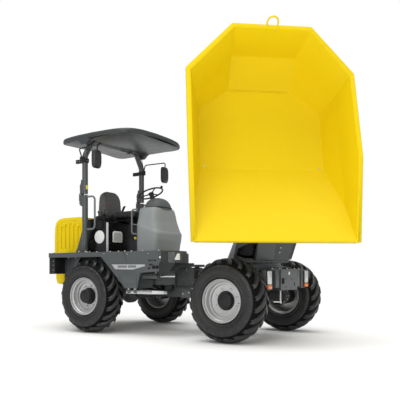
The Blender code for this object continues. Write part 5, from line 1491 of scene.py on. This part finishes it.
addPiece("consoleBody", [(makeConsole(), "greyMoulding")], "rear_frame", "grey_moulding", ("console",), machine, 34)
seal = stackRings([sectionRing(-0.918, -0.552, 0.228, z, 2.8) for z in (1.886, 1.9)], 56)
addPiece("consoleDome", [(makeDome(), "domeMoulding"), (seal, "blackPlastic")], "rear_frame", "grey_moulding")
addPiece("consoleRails", [(join(makeRail(), mirrored(makeRail())), "greyPaint")], "rear_frame", "dark_paint")
wheelAxis = Vector(jointPlace["steering_wheel_turn"]["axis"])
wheelMiddle = Vector((-0.876, 0.0, 2.138))
wheelTurn = Matrix.Translation(wheelMiddle) @ wheelAxis.to_track_quat("Z", "Y").to_matrix().to_4x4()


def makeConsoleParts():
    gaiter = lathe([(0.046, -0.2), (0.05, -0.165), (0.044, -0.158), (0.049, -0.146), (0.042, -0.139),
                    (0.047, -0.128), (0.04, -0.121), (0.045, -0.11), (0.038, -0.1), (0.041, -0.07),
                    (0.034, -0.04), (0.02, -0.036)], (0, 0, 0), (0, 0, 1), 32)
    placed(gaiter, wheelTurn)
    knob = lathe([(0.0, 0.03), (0.014, 0.028), (0.022, 0.016), (0.022, 0.004), (0.012, 0.0), (0.0, 0.0)],
                 (-0.938, -0.295, 1.417), (-1, 0, 0), 24)
    panel = [block((-0.944, -0.215, 1.7), (-0.934, 0.215, 1.85), 0.006, 3)]
    switches = [block((-0.95, -0.18 + 0.052 * count, 1.76), (-0.942, -0.145 + 0.052 * count, 1.8), 0.003, 2)
                for count in range(5)]
    gauge = lathe([(0.0, 0.004), (0.034, 0.004), (0.038, 0.007), (0.042, 0.004), (0.042, 0.0), (0.0, 0.0)],
                  (-0.944, 0.15, 1.775), (-1, 0, 0), 32)
    pedals = [block((-1.02, y, 1.232), (-0.985, y + 0.07, 1.33), 0.006) for y in (-0.2, 0.1)]
    stems = [rod((-1.0, y + 0.035, 1.24), (-0.935, y + 0.035, 1.3), 0.01, 12) for y in (-0.2, 0.1)]
    return [(join(gaiter, *panel, *switches, *pedals), "blackPlastic"), (knob, "yellowPatch"),
            (join(gauge), "domeMoulding"), (join(*stems), "darkPaint")]


addPiece("consoleControls", makeConsoleParts(), "rear_frame", "black_plastic")
steerSizes = {"ring": 0.192, "wire": 0.0125}


def makeSteeringWheel():
    sizes = steerSizes
    circle = [(sizes["ring"] + sizes["wire"] * math.cos(math.tau * k / 14), sizes["wire"] * math.sin(math.tau * k / 14))
              for k in range(14)]
    ring = lathe(circle + [circle[0]], (0, 0, 0), (0, 0, 1), 72)
    hub = lathe([(0.0, -0.034), (0.034, -0.034), (0.044, -0.01), (0.044, 0.002), (0.036, 0.01), (0.0, 0.012)],
                (0, 0, 0), (0, 0, 1), 36)
    spokes = []
    for k in range(3):
        angle = math.tau * k / 3 + math.radians(60)
        tip = (sizes["ring"] * math.cos(angle), sizes["ring"] * math.sin(angle), 0)
        spokes.append(rod((0, 0, -0.01), tip, 0.011, 14, 0, 0.008))
    x, y = -sizes["ring"] * 0.5, sizes["ring"] * 0.866
    knob = [rod((x, y, 0.0), (x, y, 0.04), 0.009, 16),
            lathe([(0.0, 0.03), (0.016, 0.032), (0.022, 0.042), (0.022, 0.052), (0.012, 0.062), (0.0, 0.0625)],
                  (x, y, 0), (0, 0, 1), 24)]
    wheel = join(ring, hub, *spokes, *knob)
    placed(wheel, wheelTurn)
    return wheel


addPiece("steeringWheelRim", [(makeSteeringWheel(), "blackPlastic")], "steering_wheel", "black_plastic",
         ("steering_wheel",), machine, 40)
print("console made")


# ---- seat: suspension with its bellows, cushion and back in vinyl
seatSizes = {"middle": -1.27, "half": 0.232, "low": 1.7566, "cushionTop": 1.862, "inflateSteps": 20,
             "voxel": 0.008, "cap": 0.012, "fill": 0.8,
             "backLean": 14.5, "backFoot": (-1.62, 0, 1.772)}


def makeSeatBase():
    plateLow = block((-1.48, -0.165, 1.7), (-1.2, 0.165, 1.712), 0.004)
    plateTop = block((-1.488, -0.168, 1.742), (-1.112, 0.168, 1.7546), 0.004)
    folds = []
    for count in range(4):
        z = 1.712 + 0.009 * count
        folds.append(block((-1.47, -0.155, z), (-1.13, 0.155, z + 0.0075), 0.003))
    lowFolds = [block((-1.3 + 0.03 * step, -0.15, 1.7 - 0.014 * step), (-1.112, 0.15, 1.712 - 0.014 * step),
                      0.003) for step in range(3)]
    levers = [rod((-1.16, -0.1, 1.735), (-1.02, -0.1, 1.742), 0.007, 12),
              rod((-1.02, -0.112, 1.742), (-1.02, -0.06, 1.742), 0.009, 12, 0.003),
              rod((-1.44, -0.168, 1.735), (-1.44, -0.235, 1.735), 0.012, 16, 0.003)]
    return [(join(plateLow, plateTop), "blackSheet"), (join(*folds, *lowFolds), "bellowsRubber"),
            (join(*levers), "blackPlastic")]


addPiece("seatSuspension", makeSeatBase(), "rear_frame", "black_plastic", ("seat_mount",))


def seatCushionForm():
    middle, half, low, top = (seatSizes[key] for key in ("middle", "half", "low", "cushionTop"))
    rows = [(-0.222, 0.225, half - 0.02, low, 6), (-0.236, 0.24, half - 0.004, low + 0.022, 6),
            (-0.238, 0.25, half, low + 0.055, 5), (-0.23, 0.245, half - 0.006, low + 0.085, 4.5),
            (-0.205, 0.215, half - 0.03, top - 0.01, 4), (-0.165, 0.17, half - 0.075, top - 0.014, 3.6),
            (-0.12, 0.12, half - 0.12, top - 0.024, 3.2)]
    rings = [sectionRing(middle + a, middle + b, c, d, e) for a, b, c, d, e in rows]
    return stackRings(rings, 60)


def seatBackForm():
    # Drawn lying down, with its length along x and its crown up. The turn points the crown to the rear.
    rows = [(0.0, 0.455, 0.196, 0.0, 4), (-0.006, 0.476, 0.222, 0.024, 4), (-0.004, 0.482, 0.23, 0.06, 4),
            (0.004, 0.474, 0.222, 0.105, 4), (0.028, 0.45, 0.196, 0.124, 3.6), (0.06, 0.41, 0.14, 0.104, 3.2),
            (0.1, 0.36, 0.09, 0.096, 3.0)]
    rings = [sectionRing(a, b, c, d, e) for a, b, c, d, e in rows]
    bm = stackRings(rings, 60)
    for vert in bm.verts:
        rise = vert.co.x / 0.47
        vert.co.y *= 1.0 + 0.05 * rise - 0.26 * max(0.0, rise - 0.55) ** 2 * 4.0
        vert.co.z += 0.02 * math.cos(rise * math.pi) - 0.01
        if vert.co.z > 0.05:
            vert.co.z += (0.12 + 0.035 * min(1.0, abs(vert.co.y) / 0.19) ** 3) * max(0.0, 0.75 - rise) ** 1.5
    lean = Matrix.Translation(seatSizes["backFoot"]) \
        @ Matrix.Rotation(math.radians(-90 - seatSizes["backLean"]), 4, "Y")
    placed(bm, lean)
    return bm


def puffOut(name, bm):
    # Blows a closed form up a little with the cloth solver and hands back the result.
    seatMesh = bpy.data.meshes.new(name)
    bm.to_mesh(seatMesh)
    bm.free()
    source = bpy.data.objects.new(name, seatMesh)
    bpy.context.scene.collection.objects.link(source)
    remesh = source.modifiers.new("even", "REMESH")
    remesh.mode = "VOXEL"
    remesh.voxel_size = seatSizes["voxel"]
    graph = bpy.context.evaluated_depsgraph_get()
    evenMesh = bpy.data.meshes.new_from_object(source.evaluated_get(graph))
    bpy.data.objects.remove(source, do_unlink=True)
    rest = [vert.co.copy() for vert in evenMesh.vertices]
    body = bpy.data.objects.new(name, evenMesh)
    bpy.context.scene.collection.objects.link(body)
    cloth = body.modifiers.new("cloth", "CLOTH")
    cloth.settings.use_pressure = True
    cloth.settings.uniform_pressure_force = 4.0
    cloth.settings.effector_weights.gravity = 0.0
    cloth.settings.quality = 6
    cloth.point_cache.frame_start = 1
    cloth.point_cache.frame_end = seatSizes["inflateSteps"]
    for step in range(1, seatSizes["inflateSteps"] + 1):
        bpy.context.scene.frame_set(step)
    graph = bpy.context.evaluated_depsgraph_get()
    blown = body.evaluated_get(graph).to_mesh()
    limit = seatSizes["cap"]
    for vert, start, end in zip(evenMesh.vertices, rest, [item.co.copy() for item in blown.vertices]):
        shift = end - start
        vert.co = start + shift * min(1.0, limit / max(shift.length, 1e-6))
    body.modifiers.clear()
    bpy.context.scene.frame_set(1)
    bpy.data.objects.remove(body, do_unlink=True)
    puffed = bmesh.new()
    puffed.from_mesh(evenMesh)
    bmesh.ops.smooth_vert(puffed, verts=puffed.verts, factor=0.5, use_axis_x=True, use_axis_y=True, use_axis_z=True)
    return puffed


def holdAbove(bm, low):
    for vert in bm.verts:
        vert.co.z = max(vert.co.z, low)
    return bm


def pressSeam(bm, distanceTo, width, depth):
    # Sinks the skin along a stitched line.
    bm.normal_update()
    for vert in bm.verts:
        near = distanceTo(vert.co)
        if near < width * 2.5:
            vert.co -= vert.normal * depth * math.exp(-(near / width) ** 2)
    return bm


cushion = holdAbove(puffOut("cushionForm", seatCushionForm()), seatSizes["low"])
pressSeam(cushion, lambda co: abs(abs(co.y) - 0.15) if co.z > 1.8 else 9.0, 0.007, 0.0045)
for cushionX in (-1.38, -1.29, -1.2):
    pressSeam(cushion, lambda co, at=cushionX: abs(co.x - at) if co.z > 1.82 and abs(co.y) < 0.15 else 9.0,
              0.006, 0.0028)
seatCushion = addPiece("seatCushion", [(cushion, "seatVinyl")], "rear_frame", "vinyl", ("seat_cushion",),
                       machine, 60)
back = puffOut("backForm", seatBackForm())
backLean = math.radians(seatSizes["backLean"])
leanUp = Vector((-math.sin(backLean), 0, math.cos(backLean)))
leanOut = Vector((math.cos(backLean), 0, math.sin(backLean)))
backFoot = Vector(seatSizes["backFoot"])
pressSeam(back, lambda co: abs(abs(co.y) - 0.142 + 0.05 * max(0, (co - backFoot).dot(leanUp) - 0.3))
          if (co - backFoot).dot(leanOut) > 0.03 else 9.0, 0.007, 0.005)
for backRise in (0.15, 0.34):
    pressSeam(back, lambda co, at=backRise: abs((co - backFoot).dot(leanUp) - at)
              if (co - backFoot).dot(leanOut) > 0.05 and abs(co.y) < 0.14 else 9.0, 0.006, 0.003)
seatBack = addPiece("seatBack", [(back, "greyVinyl")], "rear_frame", "vinyl", ("seat_backrest",), machine, 60)


def makeSeatTrim():
    shell = stackRings([sectionRing(*row) for row in ((0.02, 0.42, 0.17, -0.012, 4.0), (0.0, 0.44, 0.19, 0.0, 4.0),
                                                     (0.0, 0.45, 0.198, 0.012, 4.0))], 48)
    for vert in shell.verts:
        vert.co.y *= 1.0 - 0.3 * max(0.0, vert.co.x / 0.47 - 0.55) ** 2 * 4.0
    lean = Matrix.Translation((-1.652, 0, 1.775)) @ Matrix.Rotation(math.radians(-104.5), 4, "Y")
    placed(shell, lean)
    hinge = [rod((-1.515, -0.212, 1.79), (-1.515, -0.18, 1.79), 0.03, 24, 0.004),
             rod((-1.515, 0.18, 1.79), (-1.515, 0.212, 1.79), 0.03, 24, 0.004)]
    return [(join(shell, *hinge), "blackPlastic")]


addPiece("seatShell", makeSeatTrim(), "rear_frame", "black_plastic")


def makeLeverBox():
    foot = plate([(-1.448, 1.7025), (-1.262, 1.668), (-1.262, 1.728), (-1.3, 1.762), (-1.43, 1.768),
                  (-1.448, 1.75)], "Y", -0.466, -0.334, 0.006, 3)
    gaiter = lathe([(0.034, 0.0), (0.038, 0.006), (0.03, 0.012), (0.033, 0.02), (0.025, 0.026), (0.027, 0.034),
                    (0.018, 0.042), (0.01, 0.05)], (-1.328, -0.4, 1.756), (0.25, 0, 1), 24)
    stem = rod((-1.328, -0.4, 1.77), (-1.3, -0.4, 1.87), 0.008, 14)
    grip = stackRings([sectionRing(-1.302 + 0.012 * k - reach, -1.302 + 0.012 * k + reach, reach * 0.85,
                                   1.856 + 0.02 * k, 2.4)
                       for k, reach in enumerate((0.012, 0.019, 0.021, 0.019, 0.021, 0.018))], 20)
    redButton = rod((-1.246, -0.4, 1.955), (-1.24, -0.4, 1.966), 0.008, 14, 0.002)
    levers = [rod((-1.405, y, 1.764), (-1.412, y, 1.825), 0.005, 10) for y in (-0.44, -0.362)]
    tops = [rod((-1.412, y, 1.82), (-1.414, y, 1.846), 0.011, 14, 0.004) for y in (-0.44, -0.362)]
    body = join(foot, gaiter, stem, grip, *levers, *tops)
    for part in (body, redButton):
        moveBy(part, (-0.18, 0, 0.014))
    return [(body, "blackPlastic"), (redButton, "redCap")]


addPiece("leverBox", makeLeverBox(), "rear_frame", "black_plastic", ("lever_box",))
print("seat made")


# ---- roll bar, canopy and mirrors
barSizes = {"x": -1.63, "y": 0.695, "radius": 0.045, "fold": 2.1, "pin": -1.705}


def makeLowerPost():
    x, y, radius = barSizes["x"], -barSizes["y"], barSizes["radius"]
    post = rod((x, y, 1.188), (x, y, 2.088), radius, 40)
    foot = block((x - 0.1, y - 0.07, 1.1875), (x + 0.07, y + 0.07, 1.203), 0.004)
    gusset = plate([(x - 0.2, 1.19), (x - 0.03, 1.19), (x - 0.03, 1.56), (x - 0.048, 1.56),
                    (x - 0.15, 1.29)], "Y", y - 0.007, y + 0.007, 0.002)
    ears = []
    for low in (y - 0.03, y + 0.018):
        ears.append(plate([(x - 0.02, 1.905), (x - 0.02, 2.086), (x - 0.046, 2.088), (-1.687, 2.122), (-1.725, 2.122),
                           (-1.733, 2.098), (-1.733, 2.01), (-1.712, 1.93)], "Y", low, low + 0.012, 0.002))
    pin = rod((-1.705, y - 0.04, 2.1), (-1.705, y + 0.04, 2.1), 0.011, 20, 0.002)
    lockPin = rod((-1.7, y - 0.046, 1.985), (-1.7, y + 0.04, 1.985), 0.009, 16, 0.002)
    loop = pipe([(x, y, 2.06), (x + 0.205, y, 2.06), (x + 0.205, y, 1.555), (x, y, 1.555)], 0.015, 0.06, 6)
    cap = lathe([(0.047, 0.0), (0.0475, 0.004), (0.0475, 0.026), (0.0455, 0.03), (0.04, 0.03)], (x, y, 2.058),
                (0, 0, 1), 40)
    bolts = boltRow([(x - 0.082, y - 0.045, 1.203), (x - 0.082, y + 0.045, 1.203), (x + 0.055, y - 0.045, 1.203),
                     (x + 0.055, y + 0.045, 1.203)], (0, 0, 1), 0.022, 0.012)
    clips = [rod((-1.7, y - 0.05, 1.985), (-1.7, y - 0.052, 1.945), 0.004, 8)]
    return [(join(post, foot, gusset, *ears, cap), "darkPaint"), (loop, "greyPaint"),
            (join(pin, lockPin, bolts, *clips), "zinc")]


bothSides("rollBarFoot", makeLowerPost, "rear_frame", "dark_paint", "lower_post_")


def makeUpperArch():
    x, y, radius = barSizes["x"], barSizes["y"], barSizes["radius"]
    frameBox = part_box("upper_arch")
    top = frameBox[1][2] - radius
    shoulder = top - 0.26
    hoop = pipe([(x, -y, 2.106), (x, -y, shoulder), (x, -y + 0.16, top), (x, y - 0.16, top),
                 (x, y, shoulder), (x, y, 2.106)], radius, 0.15, 8)
    plates, tubes = [], []
    for side in (-1, 1):
        plates.append(plate([(x - 0.02, 2.108), (x - 0.02, 2.33), (x - 0.062, 2.33), (-1.735, 2.235), (-1.727, 2.09),
                             (-1.7, 2.084), (-1.687, 2.09), (-1.685, 2.108)], "Y", side * y - 0.012,
                            side * y + 0.012, 0.002))
        plates.append(block((x - 0.07, side * y - 0.022, 2.215), (x - 0.04, side * y + 0.022, 2.33), 0.004))
    return [(join(hoop, *plates), "darkPaint")]


addPiece("rollBarHoop", makeUpperArch(), "roll_bar", "dark_paint", ("upper_arch",), machine, 34)


def makeArchFittings():
    x, y = barSizes["x"], barSizes["y"]
    patches, clamps, lights = [], [], []
    patch = lathe([(0.0452, 0.0), (0.0458, 0.0005), (0.0458, 0.0615), (0.0452, 0.062)], (x, -y, 2.176), (0, 0, 1), 40)
    bmesh.ops.bisect_plane(patch, geom=patch.verts[:] + patch.edges[:] + patch.faces[:],
                           plane_co=(x + 0.019, -y + 0.012, 2.2),
                           plane_no=(-0.84, -0.54, 0), clear_outer=True)
    patches.append(patch)
    for side in (-1, 1):
        clampZ = 2.62
        clamps.append(block((x - 0.185, side * y - 0.018, clampZ - 0.03), (x + 0.07, side * y + 0.018,
                                                                         clampZ + 0.03), 0.004))
        clamps.append(lathe([(0.0455, -0.034), (0.054, -0.032), (0.054, 0.032), (0.0455, 0.034)],
                            (x, side * y, clampZ), (0, 0, 1), 36))
        for spot in (-0.15, -0.098, 0.058):
            lights.append(lathe([(0.0, 0.0), (0.009, 0.0), (0.008, 0.003), (0.0, 0.0035)],
                                (x + spot, side * (y + 0.018), clampZ), (0, side, 0), 16))
    cable = pipe([(x + 0.047, y - 0.01, 2.12), (x + 0.048, y, 2.7), (x + 0.046, y - 0.06, 2.88),
                  (x + 0.04, y - 0.18, 2.915), (x + 0.04, 0.1, 2.92)], 0.005, 0.05, 3)
    return [(join(*patches), "yellowPatch"), (join(*clamps), "blackPlastic"), (join(*lights), "zinc"),
            (cable, "rubberHose")]


addPiece("rollBarFittings", makeArchFittings(), "roll_bar", "black_plastic")
canopySizes = {"rear": -2.186, "front": -0.735, "half": 0.752, "top": 3.106, "crown": 0.06, "drop": 0.042,
               "wall": 0.02}


def canopyHeight(x, y):
    sizes = canopySizes
    middle = (sizes["rear"] + sizes["front"]) / 2
    along = (x - middle) / (sizes["front"] - middle)
    across = y / sizes["half"]
    panel = 0.01 * rangeStep(0.62, 0.5, abs(across)) * rangeStep(0.9, 0.8, abs(along))
    return sizes["top"] - sizes["crown"] * abs(across) ** 2.4 - sizes["drop"] * max(0.0, -along) ** 2 \
        - sizes["drop"] * 0.55 * max(0.0, along) ** 3 - 0.012 + panel


def rangeStep(low, high, value):
    part = min(1.0, max(0.0, (value - low) / (high - low)))
    return part * part * (3 - 2 * part)


def makeCanopy():
    sizes = canopySizes
    middle, reach = (sizes["rear"] + sizes["front"]) / 2, (sizes["front"] - sizes["rear"]) / 2

    def plan(angle, inset, power):
        c, s = math.cos(angle), math.sin(angle)
        x = middle + (reach - inset) * math.copysign(abs(c) ** (2 / power), c)
        y = (sizes["half"] - inset) * math.copysign(abs(s) ** (2 / power), s)
        return x, y

    def shellRing(inset, lift, power=7.5):
        def ring(angle):
            x, y = plan(angle, inset, power)
            edgeX, edgeY = plan(angle, 0.03, power)
            height = canopyHeight(x, y) if inset > 0.03 else canopyHeight(edgeX, edgeY)
            return Vector((x, y, height + lift))
        return ring

    wall = sizes["wall"]
    under = [(0.6, -wall), (0.42, -wall), (0.26, -wall), (0.14, -wall - 0.004), (0.08, -wall - 0.012),
             (0.052, -0.046), (0.04, -0.072), (0.022, -0.086), (0.008, -0.08), (0.0, -0.062), (0.002, -0.03),
             (0.012, -0.008), (0.03, 0.0), (0.07, 0.0), (0.11, 0.0), (0.165, 0.0), (0.26, 0.0), (0.36, 0.0),
             (0.48, 0.0), (0.6, 0.0)]
    return stackRings([shellRing(inset, lift) for inset, lift in under], 128)


addPiece("canopyRoof", [(makeCanopy(), "canopyPlastic")], "roll_bar", "canopy_plastic", ("canopy",), machine, 50)


def makeCanopyPods():
    # the roof's feet, drooping round the hoop's shoulders, with rubber clamps on the hoop
    pods = []
    x = barSizes["x"]
    for side in (-1, 1):
        rows = [((0.056, 0.034), (x, 0.7), 2.872), ((0.078, 0.046), (x, 0.698), 2.89),
                ((0.12, 0.058), (x, 0.69), 2.925), ((0.195, 0.07), (x, 0.676), 2.962),
                ((0.31, 0.088), (x, 0.656), 2.996), ((0.43, 0.106), (x, 0.636), 3.016)]
        rings = [sectionRing(place[0] - size[0], place[0] + size[0], size[1], height, 3.4)
                 for size, place, height in rows]
        pod = stackRings(rings, 40)
        levels = {round(height, 4): place[1] for size, place, height in rows}
        for vert in pod.verts:
            vert.co.y += side * levels[min(levels, key=lambda level: abs(level - vert.co.z))]
        pods.append(pod)
    straps = []
    for y in (-0.4, 0.36):
        straps.append(lathe([(0.0462, -0.026), (0.055, -0.024), (0.055, 0.024), (0.0462, 0.026)], (x, y, 2.96),
                            (0, 1, 0), 36))
        straps.append(block((x - 0.045, y - 0.03, 3.0), (x + 0.045, y + 0.03, 3.062), 0.006))
    straps.append(block((x - 0.04, -0.52, 3.004), (x + 0.04, 0.52, 3.02), 0.004))
    bolts = boltRow([(x + 0.03, y, 2.926 - 0.004) for y in (-0.4, 0.36)], (0.4, 0, -1), 0.02, 0.012)
    return [(join(*pods), "canopyPlastic"), (join(*straps), "blackPlastic"), (bolts, "zinc")]


addPiece("canopyFeet", makeCanopyPods(), "roll_bar", "canopy_plastic")
mirrorSizes = {"x": -1.245, "y": -0.85, "z": 2.585, "half": 0.092}


def makeMirror():
    sizes = mirrorSizes
    x, y, z = sizes["x"], sizes["y"], sizes["z"]
    clampZ = 2.64
    clamp = block((-1.68, -0.762, clampZ - 0.04), (-1.59, -0.742, clampZ + 0.04), 0.004)
    arm = pipe([(-1.632, -0.754, clampZ), (-1.64, -0.812, clampZ + 0.15), (x + 0.022, -0.85, clampZ + 0.156),
                (x + 0.008, y, z + 0.03)], 0.0098, 0.035, 6)
    joint = rod((x + 0.004, y, z - 0.01), (x + 0.01, y, z + 0.062), 0.017, 20, 0.004)
    turn = Matrix.Translation((x - 0.004, y, z)) @ Matrix.Rotation(math.radians(-90), 4, "Y")
    shape = [(0.094, 0.06, -0.046, 3.0), (0.118, 0.074, -0.04, 3.4), (0.134, 0.086, -0.026, 4.0),
             (0.14, 0.091, -0.008, 4.4), (0.14, 0.092, 0.006, 4.4), (0.136, 0.088, 0.01, 4.4),
             (0.13, 0.083, 0.0105, 4.4), (0.128, 0.081, 0.007, 4.4)]
    case = stackRings([sectionRing(-tall, tall, half, depth, power) for tall, half, depth, power in shape], 48)
    glass = stackRings([sectionRing(-0.128, 0.128, 0.081, depth, 4.4) for depth in (0.0066, 0.0082)], 48)
    for part in (case, glass):
        placed(part, turn)
    return [(join(clamp, arm, joint), "blackPlastic"), (case, "mirrorCase"), (glass, "mirrorGlass")]


bothSides("mirror", makeMirror, "roll_bar", "black_plastic", "mirror_")
print("roll bar, canopy and mirrors made")


# ---- nodes that keep their CAD shape take a procedural finish
slotFinish = {
    "dark_paint": "darkPaint", "canopy_plastic": "canopyPlastic", "yellow_paint": "yellowPaint",
    "grey_moulding": "greyMoulding", "black_sheet": "blackSheet", "black_plastic": "blackPlastic",
    "engine": "castEngine", "vinyl": "seatVinyl", "step_metal": "treadAluminium", "lamp_lens": "clearLens",
    "ram_paint": "ramPaint", "ram_rod": "chrome", "tyre": "tyreRubber", "rim": "rimSilver"}
nodeSlots = {part["node"]: part["material_slot"] for part in frame["record"]["subparts"]}
for node, thing in frame["nodes"].items():
    for slot in thing.material_slots:
        slot.material = finish(slotFinish[nodeSlots[node]])
print("finishes set")


# ---- floor, light and camera
studio = {"floorColour": (0.9, 0.9, 0.9), "worldColour": (1.0, 1.0, 1.0), "seenStrength": 1.0,
          "fillStrength": 0.42, "sunStrength": 2.35, "sunSpread": 60.0,
          "keyPower": 330.0, "fillPower": 60.0, "lens": 50.07, "shiftY": 0.1745, "shiftX": -0.0015}


def makeFloor():
    bm = bmesh.new()
    bmesh.ops.create_circle(bm, cap_ends=True, segments=96, radius=60.0)
    mesh = bpy.data.meshes.new("studioFloor")
    bm.to_mesh(mesh)
    bm.free()
    floor = bpy.data.objects.new("studioFloor", mesh)
    bpy.context.scene.collection.objects.link(floor)
    floor.location.z = -0.001
    paint = bpy.data.materials.new("studioFloorPaint")
    paint.use_nodes = True
    shader = paint.node_tree.nodes["Principled BSDF"]
    shader.inputs["Base Color"].default_value = (*studio["floorColour"], 1)
    shader.inputs["Roughness"].default_value = 0.85
    shader.inputs["Specular IOR Level"].default_value = 0.1
    mesh.materials.append(paint)


def makeLight(name, place, target, size, power):
    lamp = bpy.data.lights.new(name, "AREA")
    lamp.shape = "RECTANGLE"
    lamp.size, lamp.size_y = size
    lamp.energy = power
    holder = bpy.data.objects.new(name, lamp)
    bpy.context.scene.collection.objects.link(holder)
    holder.location = place
    holder.rotation_euler = (Vector(target) - Vector(place)).to_track_quat("-Z", "Y").to_euler()


def makeCamera():
    lens = bpy.data.cameras.new("viewCamera")
    lens.lens = studio["lens"]
    lens.sensor_width = 36.0
    lens.shift_x = studio["shiftX"]
    lens.shift_y = studio["shiftY"]
    lens.clip_end = 200
    holder = bpy.data.objects.new("viewCamera", lens)
    bpy.context.scene.collection.objects.link(holder)
    holder.location = (4.4955, -6.6671, 0.926)
    holder.rotation_euler = Vector((-0.5425, 0.84, 0.0)).to_track_quat("-Z", "Y").to_euler()
    bpy.context.scene.camera = holder


makeFloor()
makeLight("keyLight", (3.5, -9.0, 4.5), (0.4, 0, 1.9), (7, 5), studio["keyPower"])
makeLight("frontLight", (9.0, 1.0, 5.0), (0, 0, 1.6), (5, 5), studio["fillPower"])
sun = bpy.data.lights.new("skyLight", "SUN")
sun.energy = studio["sunStrength"]
sun.angle = math.radians(studio["sunSpread"])
sunHolder = bpy.data.objects.new("skyLight", sun)
bpy.context.scene.collection.objects.link(sunHolder)
sunHolder.rotation_euler = Vector((0.02, 0.16, -1.0)).to_track_quat("-Z", "Y").to_euler()
world = bpy.data.worlds.new("studio")
world.use_nodes = True
sky = world.node_tree.nodes["Background"]
sky.inputs["Color"].default_value = (*studio["worldColour"], 1)
seen = addNode(world.node_tree, "ShaderNodeLightPath")
strength = rangeMap(world.node_tree, seen.outputs["Is Camera Ray"], 0.0, 1.0, studio["fillStrength"],
                    studio["seenStrength"])
world.node_tree.links.new(strength, sky.inputs["Strength"])
bpy.context.scene.world = world
bpy.context.scene.view_settings.view_transform = "Standard"
makeCamera()
print("studio set")
